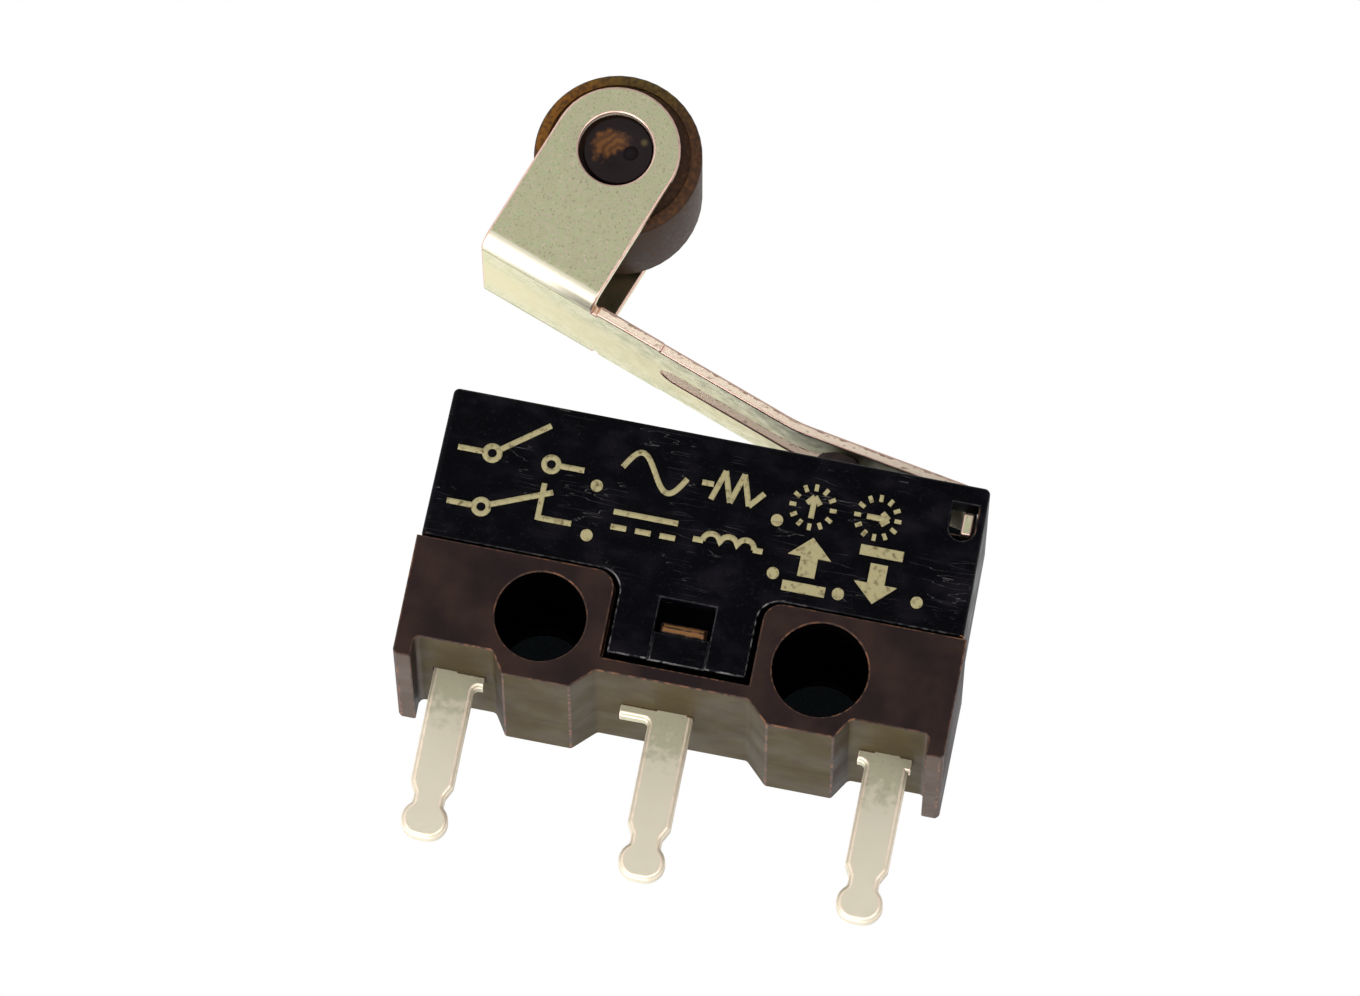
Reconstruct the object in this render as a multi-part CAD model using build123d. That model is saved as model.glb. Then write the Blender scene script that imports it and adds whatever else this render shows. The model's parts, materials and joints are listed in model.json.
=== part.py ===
"""Ultra-subminiature snap-action micro switch with a roller lever.

Millimetres. The origin is halfway between the two mounting holes, at mid depth.
+X runs to the lever's hinge end, +Y runs through the mounting holes to the back,
and +Z runs from the pins to the roller.
"""
from build123d import *
import math
import os

# Mounting holes: one close, one larger to take up the pitch tolerance. The pins, the
# base's ends and all that stands between them follow from the pitch
HOLE_PITCH = 6.5
HOLE_TO_PIN = 1.83
PIN_TO_END = 1.32
HOLE_D = 2.1
LOOSE_HOLE_D = 2.21

# Base moulding
BASE_DEPTH = 5.8
SHOULDER_Z = 1.36
FOOT_Z = -1.5
RECESS_Z = -1.0
FOOT_WIDTH = 0.42
FOOT_BEVEL = 0.08
FOOT_INNER_RADIUS = 0.15
BOSS_OUTER_REACH = 0.6
BOSS_INNER_REACH = 0.96
BOSS_OUTER_SLANT = 0.32
BOSS_INNER_SLANT = 0.52
TAB_RECESS_TO_HOLE = 0.465
TAB_RECESS_Z = -0.67
TAB_RECESS_DEPTH = 0.55
TAB_RECESS_RADIUS = 0.44

# Plug of the base that locates the cover, and the well in it for the terminal arms
PLUG_HEIGHT = 0.64
PLUG_CLEARANCE = 0.15
WELL_FLOOR_Z = 1.45
WELL_GAP = 0.05
WELL_WALL_SIDE = 0.75

# Cover moulding
COVER_INSET = 0.06
COVER_DRAFT = 0.8
COVER_HEADROOM = 0.23
COVER_TOP_WALL = 0.4
COVER_SIDE_WALL = 0.46
COVER_LEFT_WALL = 0.40
COVER_HINGE_WALL = 0.26
COVER_EDGE_RADIUS = 0.14
SEAM_GAP = 0.06
TAB_SIDE_GAP = 0.13
TAB_END_GAP = 0.17

# Snap window in each tab, and the nub of the base behind it
WINDOW_WIDTH = 1.3
WINDOW_HEIGHT = 0.8
WINDOW_Z = 0.2
NUB_WIDTH = 1.0
NUB_HEIGHT = 0.3
NUB_REACH = 0.36
NUB_GAP = 0.02
LEAD_IN_DEPTH = 0.08

# Lever sheet
SHEET = 0.25
LEVER_WIDTH = 3.2
LEVER_WIDE_WIDTH = 3.32
NEAR_LENGTH = 4.41
BEND_RISE = 1.03
BEND_RADIUS = 3.5
NEAR_SLOPE = 10.0
FAR_SLOPE = 20.0
WIDE_START = 3.6
SLOT_WIDTH = 0.74
SLOT_BEFORE_BEND = 2.4
SLOT_BEYOND_BEND = 3.44
LEVER_SWING = 8.5

# Fork at the lever's far end, measured along and square to the far arm from the bend
AXLE_HOLE_U = 6.955
AXLE_HOLE_W = 3.31
EAR_RADIUS = 1.5
FORK_WIDTH = 4.1
FORK_BEND_RADIUS = 0.45
NOTCH_WIDTH = 0.12
NOTCH_DEPTH = 0.16
AXLE_HOLE_D = 1.74

# Roller with its stub axles
ROLLER_D = 3.91
ROLLER_SIDE_PLAY = 0.15
ROLLER_EDGE_RADIUS = 0.14
AXLE_D = 1.56
AXLE_SLACK = 0.06
AXLE_SETBACK = 0.05
RIM_WIDTH = 0.26
HUB_D = 2.1
FACE_RECESS_DEPTH = 0.1
DIMPLE_D = 1.0
DIMPLE_DEPTH = 0.1
DIMPLE_FLOOR_D = 0.36
GATE_D = 0.36
GATE_DEPTH = 0.08
GATE_OFFSET = 0.3

# Lever tail and hinge
TAIL_WALL_GAP = 0.07
TAIL_BEND_RADIUS = 0.45
TAIL_END_DEPTH = 1.17
HINGE_TAB_HEIGHT = 0.52
HINGE_TAB_SETBACK = 0.2
HINGE_WINDOW_WIDTH = 0.6
HINGE_WINDOW_TOP_DEPTH = 0.47
HINGE_WINDOW_END_DEPTH = 1.35
TAIL_OPENING_LENGTH = 0.88
TAIL_OPENING_SIDE_GAP = 0.15

# Plunger
HINGE_TO_PLUNGER = 3.235
PLUNGER_WIDTH = 1.0
PLUNGER_DEPTH = 2.8
PLUNGER_CROWN_RADIUS = 0.9
PLUNGER_CORNER_RADIUS = 0.2
PLUNGER_GUIDE_GAP = 0.05
PLUNGER_LEVER_GAP = 0.03
PLUNGER_STOP_GAP = 0.03
FLANGE_REACH = 0.3
FLANGE_THICKNESS = 0.37
FOOT_BAR_WIDTH = 0.6
FOOT_BAR_DEPTH = 2.2

# Terminals
TERMINAL_THICKNESS = 0.5
PIN_WIDTH = 1.0
PIN_EDGE_BEVEL = 0.08
PIN_TAPER_Z = -3.68
NECK_Z = -3.95
NECK_WIDTH = 0.72
BULB_Z = -4.54
BULB_WIDTH = 1.08
BULB_HEIGHT = 0.88
PIN_CORNER_RADIUS = 0.12
SHOULDER_HEIGHT = 0.26
SHORT_SHOULDER = 0.2
SMALL_SHOULDER = 0.06
LONG_SHOULDER = 0.69
SLOT_GAP = 0.02
COLUMN_WIDTH = 0.55
OPEN_COLUMN_WIDTH = 0.7
TOP_ARM_HEIGHT = 0.5
ARM_OVERHANG = 0.1

# Contacts
CONTACT_TO_WALL = 1.64
CONTACT_LENGTH = 0.9
CONTACT_DEPTH = 1.0
CONTACT_THICKNESS = 0.22
CONTACT_REST_GAP = 0.02
HALF_CONTACT_SPACE = 0.75
HEAD_D = 0.9
HEAD_THICKNESS = 0.35
SHANK_D = 0.5
RIVET_HOLE_GAP = 0.01

# Snap blade
BLADE_THICKNESS = 0.1
BLADE_WIDTH = 2.4
BLADE_OVERHANG = 0.6
BLADE_END_BAR = 0.3
PIVOT_TO_WALL = 0.84
PIVOT_RISE = 0.9
CUTOUT_WIDTH = 0.84
CUTOUT_LENGTH = 6.84
TONGUE_WIDTH = 0.6
TONGUE_TIP_DROP = 0.55
TONGUE_ANCHOR_GAP = 0.15

# Posts of the common terminal
POST_NOTCH_DEPTH = 0.15
POST_NOTCH_HALF_HEIGHT = 0.3
POST_NOTCH_CLEARANCE = 0.04
POST_WIDTH = 0.6
POST_RISE = 0.35
PIVOT_TO_ANCHOR = 4.29
ANCHOR_WIDTH = 0.45
ANCHOR_TOP_RISE = 0.3
ANCHOR_NOTCH_HALF_HEIGHT = 0.22
ANCHOR_NOTCH_DEPTH = 0.1

# Derived places
hole_x = HOLE_PITCH / 2
pin_x = hole_x + HOLE_TO_PIN
half_length = pin_x + PIN_TO_END
half_depth = BASE_DEPTH / 2
tab_recess_half = hole_x - HOLE_D / 2 - TAB_RECESS_TO_HOLE
cover_half_length = half_length - COVER_INSET
cover_half_depth = half_depth - COVER_INSET
cover_bottom_z = SHOULDER_Z + SEAM_GAP
cavity_left_x = -cover_half_length + COVER_LEFT_WALL
cavity_right_x = cover_half_length - COVER_HINGE_WALL
cavity_half_depth = cover_half_depth - COVER_SIDE_WALL
recess_face_y = half_depth - TAB_RECESS_DEPTH
tab_end_z = TAB_RECESS_Z + TAB_END_GAP
plug_top_z = SHOULDER_Z + PLUG_HEIGHT

# Contacts lie the same distance above and below the blade's pivot, and the cover over them
pivot_x = cavity_right_x - PIVOT_TO_WALL
pivot_z = plug_top_z + PIVOT_RISE
contact_x = cavity_left_x + CONTACT_TO_WALL
closed_face_z = pivot_z + HALF_CONTACT_SPACE
open_face_z = pivot_z - HALF_CONTACT_SPACE
arm_top_z = open_face_z - CONTACT_THICKNESS
top_arm_z = closed_face_z + CONTACT_THICKNESS
top_arm_end_z = top_arm_z + TOP_ARM_HEIGHT
cavity_top_z = top_arm_end_z + COVER_HEADROOM
cover_top_z = cavity_top_z + COVER_TOP_WALL

# Lever, hinged on its tail in the cover's end
tail_x = cavity_right_x - TAIL_WALL_GAP
tail_end_z = cover_top_z - TAIL_END_DEPTH
bend_x = tail_x - NEAR_LENGTH
bend_z = cover_top_z + BEND_RISE
half_sheet = SHEET / 2
near_angle = math.radians(NEAR_SLOPE)
far_angle = math.radians(FAR_SLOPE)
hinge_x = tail_x - half_sheet
hinge_z = tail_end_z + HINGE_TAB_HEIGHT / 2
tail_corner_z = bend_z - NEAR_LENGTH * math.tan(near_angle)
fork_start = AXLE_HOLE_U - EAR_RADIUS
fork_end = AXLE_HOLE_U + EAR_RADIUS
arm_end = fork_start - NOTCH_WIDTH

# The near arm's underside turns about the hinge and pushes the crown down as it swings
plunger_x = hinge_x - HINGE_TO_PLUNGER
under_line_z = bend_z - hinge_z - (hinge_x - bend_x) * math.tan(near_angle)
under_offset = under_line_z * math.cos(near_angle) - SHEET
crown_offset = under_offset - PLUNGER_CROWN_RADIUS - PLUNGER_LEVER_GAP


def crown_height(slope):
    """Height of the crown's centre when the near arm lies at this slope."""
    return hinge_z + (crown_offset + HINGE_TO_PLUNGER * math.sin(slope)) / math.cos(slope)


crown_centre_z = crown_height(near_angle)
plunger_travel = crown_centre_z - crown_height(near_angle - math.radians(LEVER_SWING))
plunger_top_z = crown_centre_z + PLUNGER_CROWN_RADIUS
flange_top_z = cavity_top_z - PLUNGER_STOP_GAP
flange_bottom_z = flange_top_z - FLANGE_THICKNESS

# The blade tips from contact to contact, and the plunger's foot ends just over it
blade_reach = pivot_x - contact_x
head_face = BLADE_THICKNESS / 2 + HEAD_THICKNESS
blade_tilt = math.asin((HALF_CONTACT_SPACE - CONTACT_REST_GAP - head_face) / (blade_reach + HEAD_D / 2))
blade_under_foot_z = pivot_z - (pivot_x - plunger_x - FOOT_BAR_WIDTH / 2) * math.tan(blade_tilt)
plunger_foot_z = blade_under_foot_z + BLADE_THICKNESS / 2 + CONTACT_REST_GAP + plunger_travel

# Inner outline of the strips
post_right_x = pivot_x - POST_NOTCH_CLEARANCE + POST_NOTCH_DEPTH
post_left_x = post_right_x - POST_WIDTH
anchor_x = pivot_x - PIVOT_TO_ANCHOR
tongue_tip_z = pivot_z - TONGUE_TIP_DROP
column_left_x = -pin_x - PIN_WIDTH / 2
shoulder_bottom_z = RECESS_Z - SHOULDER_HEIGHT
tongue_length = CUTOUT_LENGTH - PIVOT_TO_ANCHOR - TONGUE_ANCHOR_GAP
tongue_radius = (tongue_length**2 + TONGUE_TIP_DROP**2) / (2 * TONGUE_TIP_DROP)

FRONT = Plane.XZ
ALONG_FAR_ARM = (-math.cos(far_angle), 0, math.sin(far_angle))
FAR_ARM = Plane(origin=(bend_x, 0, bend_z), x_dir=ALONG_FAR_ARM, z_dir=(0, 1, 0))


def side_face(*points):
    """Closed outline in X and Z, as a face at mid depth."""
    return FRONT * make_face(Polyline(*points, close=True))


def rectangle_face(x_min, x_max, z_min, z_max):
    """Rectangle in X and Z."""
    return side_face((x_min, z_min), (x_max, z_min), (x_max, z_max), (x_min, z_max))


def through(face, depth):
    """Extrude an X-Z face to both sides of mid depth."""
    return extrude(face, amount=depth / 2, both=True)


def block(x_min, x_max, z_min, z_max, depth):
    """Box at mid depth, given by its X and Z limits and its depth."""
    size = Box(x_max - x_min, depth, z_max - z_min)
    return Pos((x_min + x_max) / 2, 0, (z_min + z_max) / 2) * size


def far_point(u, w):
    """Point in X and Z that lies u along the far arm and w above its upper face."""
    x = bend_x - u * math.cos(far_angle) + w * math.sin(far_angle)
    z = bend_z + u * math.sin(far_angle) + w * math.cos(far_angle)
    return x, z


def arc_point(centre, radius, degrees):
    """Point on a circle in a sketch."""
    angle = math.radians(degrees)
    return centre[0] + radius * math.cos(angle), centre[1] + radius * math.sin(angle)


def rounded(face, corners, radius):
    """Round the corners of an X-Z face that lie nearest to the given points."""
    picked = [face.vertices().sort_by_distance((x, 0, z))[0] for x, z in corners]
    return fillet(picked, radius)


def write(shape, name):
    """One STEP file per piece."""
    piece = shape.solid()
    piece.label = name
    export_step(piece, os.path.join("parts", name + ".step"))


def tab_outline(side_gap, end_gap, top_gap, radius):
    """Front view of the hanging tab, or of its recess: a tongue with flared roots."""
    half = tab_recess_half - side_gap
    bottom = TAB_RECESS_Z + end_gap
    top = SHOULDER_Z + top_gap
    left = (-half - radius, top - radius)
    right = (half + radius, top - radius)
    edges = [
        Polyline((-half, left[1]), (-half, bottom), (half, bottom), (half, right[1])),
        ThreePointArc((half, right[1]), arc_point(right, radius, 135), (right[0], top)),
        Polyline((right[0], top), (right[0], cover_top_z), (left[0], cover_top_z), (left[0], top)),
        ThreePointArc((left[0], top), arc_point(left, radius, 45), (-half, left[1])),
    ]
    return FRONT * make_face(Curve() + edges)


def make_base():
    """Brown moulding with feet, bosses, mounting holes, plug and snap nubs."""
    foot_x = half_length - FOOT_WIDTH
    boss_left = hole_x - BOSS_INNER_REACH
    boss_right = hole_x + BOSS_OUTER_REACH
    right_side = [
        (boss_left - BOSS_INNER_SLANT, RECESS_Z),
        (boss_left, FOOT_Z),
        (boss_right, FOOT_Z),
        (boss_right + BOSS_OUTER_SLANT, RECESS_Z),
        (foot_x, RECESS_Z),
        (foot_x, FOOT_Z),
        (half_length - FOOT_BEVEL, FOOT_Z),
        (half_length, FOOT_Z + FOOT_BEVEL),
        (half_length, SHOULDER_Z),
    ]
    left_side = [(-x, z) for x, z in reversed(right_side)]
    outline = side_face(*right_side, *left_side)
    inner_corners = [point for point in right_side + left_side if point[1] == RECESS_Z]
    body = through(rounded(outline, inner_corners, FOOT_INNER_RADIUS), BASE_DEPTH)

    recess = tab_outline(0, 0, 0, TAB_RECESS_RADIUS)
    centre_web = through(recess, 2 * recess_face_y)
    body -= through(recess, BASE_DEPTH) - centre_web

    plug_left = cavity_left_x + PLUG_CLEARANCE
    plug_right = cavity_right_x - PLUG_CLEARANCE
    plug_depth = 2 * (cavity_half_depth - PLUG_CLEARANCE)
    body += block(plug_left, plug_right, SHOULDER_Z, plug_top_z, plug_depth)
    well_depth = plug_depth - 2 * WELL_WALL_SIDE
    body -= block(column_left_x - WELL_GAP, post_right_x + WELL_GAP, WELL_FLOOR_Z, plug_top_z, well_depth)

    body += make_nubs()
    body -= make_mounting_holes()
    slot_depth = TERMINAL_THICKNESS + 2 * SLOT_GAP
    columns = [
        (column_left_x, column_left_x + COLUMN_WIDTH),
        (-OPEN_COLUMN_WIDTH / 2, OPEN_COLUMN_WIDTH / 2),
        (post_left_x, post_right_x),
    ]
    for left, right in columns:
        body -= block(left - SLOT_GAP, right + SLOT_GAP, RECESS_Z, WELL_FLOOR_Z, slot_depth)
    return body


def make_nubs():
    """Wedge on each face of the base that the cover's window snaps over."""
    bottom = WINDOW_Z + NUB_GAP
    reach = recess_face_y + NUB_REACH
    wedge = Polyline(
        (recess_face_y - NUB_REACH, bottom),
        (reach, bottom),
        (reach, bottom + NUB_HEIGHT / 2),
        (recess_face_y, bottom + NUB_HEIGHT),
        (recess_face_y - NUB_REACH, bottom + NUB_HEIGHT),
        close=True,
    )
    back = extrude(Plane.YZ * make_face(wedge), amount=NUB_WIDTH / 2, both=True)
    return [back, mirror(back, about=Plane.XZ)]


def make_mounting_holes():
    """The close hole on the left and the larger one on the right."""
    left = FRONT * Pos(-hole_x, 0) * Circle(HOLE_D / 2)
    right = FRONT * Pos(hole_x, 0) * Circle(LOOSE_HOLE_D / 2)
    return [through(left, BASE_DEPTH), through(right, BASE_DEPTH)]


def make_cover():
    """Black box with a hanging snap tab on each face, hinge windows and top openings."""
    footprint = Pos(0, 0, tab_end_z) * Rectangle(2 * cover_half_length, 2 * cover_half_depth)
    shell = extrude(footprint, amount=cover_top_z - tab_end_z, taper=COVER_DRAFT)
    top_edges = shell.edges().group_by(Axis.Z)[-1]
    upright_edges = shell.edges().group_by(Axis.Z)[1]
    shell = fillet(top_edges + upright_edges, COVER_EDGE_RADIUS)

    upper = rectangle_face(-half_length, half_length, cover_bottom_z, cover_top_z)
    tab = tab_outline(TAB_SIDE_GAP, TAB_END_GAP, SEAM_GAP, TAB_RECESS_RADIUS + SEAM_GAP)
    shell &= through(upper + tab, BASE_DEPTH)
    shell -= block(cavity_left_x, cavity_right_x, tab_end_z, cavity_top_z, 2 * cavity_half_depth)

    window = block(-WINDOW_WIDTH / 2, WINDOW_WIDTH / 2, WINDOW_Z, WINDOW_Z + WINDOW_HEIGHT, BASE_DEPTH)
    lead_in = block(-WINDOW_WIDTH / 2, WINDOW_WIDTH / 2, tab_end_z, WINDOW_Z, BASE_DEPTH)
    depth_left = 2 * (cover_half_depth - LEAD_IN_DEPTH)
    lead_in -= block(-WINDOW_WIDTH, WINDOW_WIDTH, tab_end_z, WINDOW_Z, depth_left)
    shell -= window
    shell -= lead_in
    shell -= make_hinge_window()

    guide_gap = 2 * PLUNGER_GUIDE_GAP
    guide = Pos(plunger_x, 0, cavity_top_z) * RectangleRounded(
        PLUNGER_WIDTH + guide_gap, PLUNGER_DEPTH + guide_gap, PLUNGER_CORNER_RADIUS + PLUNGER_GUIDE_GAP
    )
    shell -= extrude(guide, amount=COVER_TOP_WALL)
    opening_depth = LEVER_WIDTH + 2 * TAIL_OPENING_SIDE_GAP
    opening_left = cavity_right_x - TAIL_OPENING_LENGTH
    shell -= block(opening_left, cavity_right_x, cavity_top_z, cover_top_z, opening_depth)
    return shell


def make_hinge_window():
    """Window with a flat top and a round bottom, through the front and back walls."""
    left = cavity_right_x - HINGE_WINDOW_WIDTH
    radius = HINGE_WINDOW_WIDTH / 2
    top_z = cover_top_z - HINGE_WINDOW_TOP_DEPTH
    end_z = cover_top_z - HINGE_WINDOW_END_DEPTH
    low_z = end_z + radius
    edges = [
        ThreePointArc((left, low_z), (left + radius, end_z), (cavity_right_x, low_z)),
        Polyline((cavity_right_x, low_z), (cavity_right_x, top_z), (left, top_z), (left, low_z)),
    ]
    return through(FRONT * make_face(Curve() + edges), BASE_DEPTH)


def pin_face(x):
    """Front view of a solder pin below the base: shank, neck and rounded end."""
    half = PIN_WIDTH / 2
    neck = NECK_WIDTH / 2
    shank = side_face(
        (x - half, RECESS_Z),
        (x + half, RECESS_Z),
        (x + half, PIN_TAPER_Z),
        (x + neck, NECK_Z),
        (x + neck, BULB_Z),
        (x - neck, BULB_Z),
        (x - neck, NECK_Z),
        (x - half, PIN_TAPER_Z),
    )
    bulb = FRONT * Pos(x, BULB_Z) * SlotOverall(BULB_WIDTH, BULB_HEIGHT)
    corners = []
    for side in (-1, 1):
        corners.append((x + side * half, PIN_TAPER_Z))
        corners.append((x + side * neck, NECK_Z))
        corners.append((x + side * neck, BULB_Z + BULB_HEIGHT / 2))
    return rounded(shank + bulb, corners, PIN_CORNER_RADIUS)


def shoulder_face(x_min, x_max):
    """Ledge of a strip that seats against the recess ceiling."""
    return rectangle_face(x_min, x_max, shoulder_bottom_z, RECESS_Z)


def strip(face):
    """Stamp a terminal from its outline and bevel the edges of its pin."""
    plate = through(face, TERMINAL_THICKNESS)
    middle_of_pin = (shoulder_bottom_z + PIN_TAPER_Z) / 2
    long_edges = [
        edge
        for edge in plate.edges().filter_by(Axis.Z)
        if edge.bounding_box().min.Z < middle_of_pin < edge.bounding_box().max.Z
    ]
    return chamfer(long_edges, PIN_EDGE_BEVEL)


def make_terminal_common():
    """Right-hand strip: pin, blade post with its notch, and anchor post for the tongue."""
    pin_left = pin_x - PIN_WIDTH / 2
    pin_right = pin_x + PIN_WIDTH / 2
    face = pin_face(pin_x)
    face += shoulder_face(pin_left - SHORT_SHOULDER, pin_right + SMALL_SHOULDER)
    face += rectangle_face(post_left_x, post_right_x, RECESS_Z, pivot_z + POST_RISE)
    face += rectangle_face(anchor_x, post_left_x, WELL_FLOOR_Z, arm_top_z)
    face += rectangle_face(anchor_x, anchor_x + ANCHOR_WIDTH, WELL_FLOOR_Z, tongue_tip_z + ANCHOR_TOP_RISE)
    face -= side_face(
        (post_right_x, pivot_z - POST_NOTCH_HALF_HEIGHT),
        (post_right_x, pivot_z + POST_NOTCH_HALF_HEIGHT),
        (post_right_x - POST_NOTCH_DEPTH, pivot_z),
    )
    face -= side_face(
        (anchor_x, tongue_tip_z - ANCHOR_NOTCH_HALF_HEIGHT),
        (anchor_x + ANCHOR_NOTCH_DEPTH, tongue_tip_z),
        (anchor_x, tongue_tip_z + ANCHOR_NOTCH_HALF_HEIGHT),
    )
    corner = (pin_left, shoulder_bottom_z)
    return strip(rounded(face, [corner], PIN_CORNER_RADIUS))


def make_terminal_open():
    """Middle strip: pin with a long shoulder, and the arm under the blade's free end."""
    arm_left = contact_x - CONTACT_LENGTH / 2 - ARM_OVERHANG
    pin_left = -PIN_WIDTH / 2
    face = pin_face(0)
    face += shoulder_face(pin_left - LONG_SHOULDER, PIN_WIDTH / 2)
    face += rectangle_face(-OPEN_COLUMN_WIDTH / 2, OPEN_COLUMN_WIDTH / 2, RECESS_Z, arm_top_z)
    face += rectangle_face(arm_left, OPEN_COLUMN_WIDTH / 2, WELL_FLOOR_Z, arm_top_z)
    corner = (pin_left, shoulder_bottom_z)
    return strip(rounded(face, [corner], PIN_CORNER_RADIUS))


def make_terminal_closed():
    """Left-hand strip: pin, column beside the blade and arm over its free end."""
    column_right = column_left_x + COLUMN_WIDTH
    arm_right = contact_x + CONTACT_LENGTH / 2 + ARM_OVERHANG
    pin_right = -pin_x + PIN_WIDTH / 2
    face = pin_face(-pin_x)
    face += shoulder_face(column_left_x, pin_right + SHORT_SHOULDER)
    face += rectangle_face(column_left_x, column_right, RECESS_Z, top_arm_end_z)
    face += rectangle_face(column_left_x, arm_right, top_arm_z, top_arm_end_z)
    corner = (pin_right, shoulder_bottom_z)
    return strip(rounded(face, [corner], PIN_CORNER_RADIUS))


def make_fixed_contact(z_min, z_max):
    """Contact bar welded along the edge of a strip's arm."""
    left = contact_x - CONTACT_LENGTH / 2
    return block(left, left + CONTACT_LENGTH, z_min, z_max, CONTACT_DEPTH)


def at_rest(shape):
    """Tip the blade about its pivot until its contact lies at the closed contact."""
    return Pos(pivot_x, 0, pivot_z) * Rot(0, math.degrees(blade_tilt), 0) * shape


def make_blade():
    """Snap blade: frame with a window, and the bowed tongue cut from the same sheet."""
    left = -blade_reach - BLADE_OVERHANG
    right = BLADE_END_BAR
    frame = Pos((left + right) / 2, 0, 0) * Box(right - left, BLADE_WIDTH, BLADE_THICKNESS)
    frame -= Pos(-CUTOUT_LENGTH / 2, 0, 0) * Box(CUTOUT_LENGTH, CUTOUT_WIDTH, BLADE_THICKNESS)
    frame -= Pos(-blade_reach, 0, 0) * Cylinder(SHANK_D / 2 + RIVET_HOLE_GAP, BLADE_THICKNESS)
    return at_rest(frame + make_tongue())


def make_tongue():
    """Tongue that leaves the frame level and bows down to the anchor post."""
    sweep = math.degrees(math.asin(tongue_length / tongue_radius))
    centre = (-CUTOUT_LENGTH, -tongue_radius)
    outer = tongue_radius + BLADE_THICKNESS / 2
    inner = tongue_radius - BLADE_THICKNESS / 2
    outer_arc = [arc_point(centre, outer, 90 - share * sweep) for share in (0, 0.5, 1)]
    inner_arc = [arc_point(centre, inner, 90 - share * sweep) for share in (1, 0.5, 0)]
    edges = [
        ThreePointArc(*outer_arc),
        Line(outer_arc[2], inner_arc[0]),
        ThreePointArc(*inner_arc),
        Line(inner_arc[2], outer_arc[0]),
    ]
    return through(FRONT * make_face(Curve() + edges), TONGUE_WIDTH)


def make_moving_contact():
    """Rivet with a contact head on both sides of the blade."""
    heads = []
    for side in (-1, 1):
        height = side * (BLADE_THICKNESS + HEAD_THICKNESS) / 2
        heads.append(Pos(0, 0, height) * Cylinder(HEAD_D / 2, HEAD_THICKNESS))
    rivet = Cylinder(SHANK_D / 2, BLADE_THICKNESS) + heads
    return at_rest(Pos(-blade_reach, 0, 0) * rivet)


def make_lever():
    """One stamped sheet: slotted arm with a shallow bend, fork, and tail with hinge tabs."""
    upper_line = FilletPolyline(
        far_point(arm_end, 0),
        (bend_x, bend_z),
        (tail_x, tail_corner_z),
        (tail_x, tail_end_z),
        radius=[BEND_RADIUS, TAIL_BEND_RADIUS],
    )
    profile = make_face(offset(upper_line, amount=SHEET, side=Side.RIGHT))
    lever = through(FRONT * profile, LEVER_WIDTH)
    lever += far_plate(WIDE_START, arm_end, LEVER_WIDE_WIDTH)
    lever += far_plate(arm_end, fork_start, LEVER_WIDE_WIDTH - 2 * NOTCH_DEPTH)
    lever += make_fork()
    tab_depth = 2 * (cover_half_depth - HINGE_TAB_SETBACK)
    lever += block(tail_x - SHEET, tail_x, tail_end_z, tail_end_z + HINGE_TAB_HEIGHT, tab_depth)

    slot_middle = bend_x + (SLOT_BEFORE_BEND - SLOT_BEYOND_BEND) / 2
    slot_length = SLOT_BEFORE_BEND + SLOT_BEYOND_BEND
    slot = Pos(slot_middle, 0, cover_top_z) * SlotOverall(slot_length, SLOT_WIDTH)
    return lever - extrude(slot, amount=AXLE_HOLE_W)


def far_plate(u_min, u_max, width):
    """Flat length of the far arm."""
    face = Pos((u_min + u_max) / 2, -half_sheet) * Rectangle(u_max - u_min, SHEET)
    return extrude(FAR_ARM * face, amount=width / 2, both=True)


def make_fork():
    """Channel folded from the sheet, its two ears rounded about the axle holes."""
    ear_top = AXLE_HOLE_W + EAR_RADIUS
    half = FORK_WIDTH / 2
    origin = FAR_ARM.from_local_coords((fork_end, 0, 0))
    across = Plane(origin=origin, x_dir=(0, 1, 0), z_dir=tuple(-value for value in ALONG_FAR_ARM))
    outer_line = FilletPolyline(
        (-half, ear_top), (-half, -SHEET), (half, -SHEET), (half, ear_top), radius=FORK_BEND_RADIUS
    )
    section = make_face(offset(outer_line, amount=SHEET, side=Side.LEFT))
    channel = extrude(across * section, amount=fork_end - fork_start)
    web = Pos(AXLE_HOLE_U, (AXLE_HOLE_W - SHEET) / 2) * Rectangle(2 * EAR_RADIUS, AXLE_HOLE_W + SHEET)
    ear = web + Pos(AXLE_HOLE_U, AXLE_HOLE_W) * Circle(EAR_RADIUS)
    ear -= Pos(AXLE_HOLE_U, AXLE_HOLE_W) * Circle(AXLE_HOLE_D / 2)
    return channel & extrude(FAR_ARM * ear, amount=FORK_WIDTH, both=True)


def make_roller():
    """Roller moulded with its stub axles, dished ends and gate marks."""
    width = FORK_WIDTH - 2 * SHEET - 2 * ROLLER_SIDE_PLAY
    rim = Cylinder(ROLLER_D / 2, width)
    rim = fillet(rim.edges().filter_by(GeomType.CIRCLE), ROLLER_EDGE_RADIUS)
    face_ring = Circle(ROLLER_D / 2 - RIM_WIDTH) - Circle(HUB_D / 2)
    length = FORK_WIDTH - 2 * AXLE_SETBACK
    roller = rim + Cylinder(AXLE_D / 2, length)
    face_recess = Pos(0, 0, width / 2 - FACE_RECESS_DEPTH) * extrude(face_ring, amount=FACE_RECESS_DEPTH)
    dimple = Cone(DIMPLE_FLOOR_D / 2, DIMPLE_D / 2, DIMPLE_DEPTH)
    dimple = Pos(0, 0, (length - DIMPLE_DEPTH) / 2) * dimple
    for side in (0, 180):
        roller -= Rot(side, 0, 0) * face_recess
        roller -= Rot(side, 0, 0) * dimple
    gate_depth = DIMPLE_DEPTH + GATE_DEPTH
    roller -= Pos(GATE_OFFSET, 0, (length - gate_depth) / 2) * Cylinder(GATE_D / 2, gate_depth)
    axis_x, axis_z = far_point(AXLE_HOLE_U - AXLE_SLACK, AXLE_HOLE_W)
    return Pos(axis_x, 0, axis_z) * Rot(90, 0, 0) * roller


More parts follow.
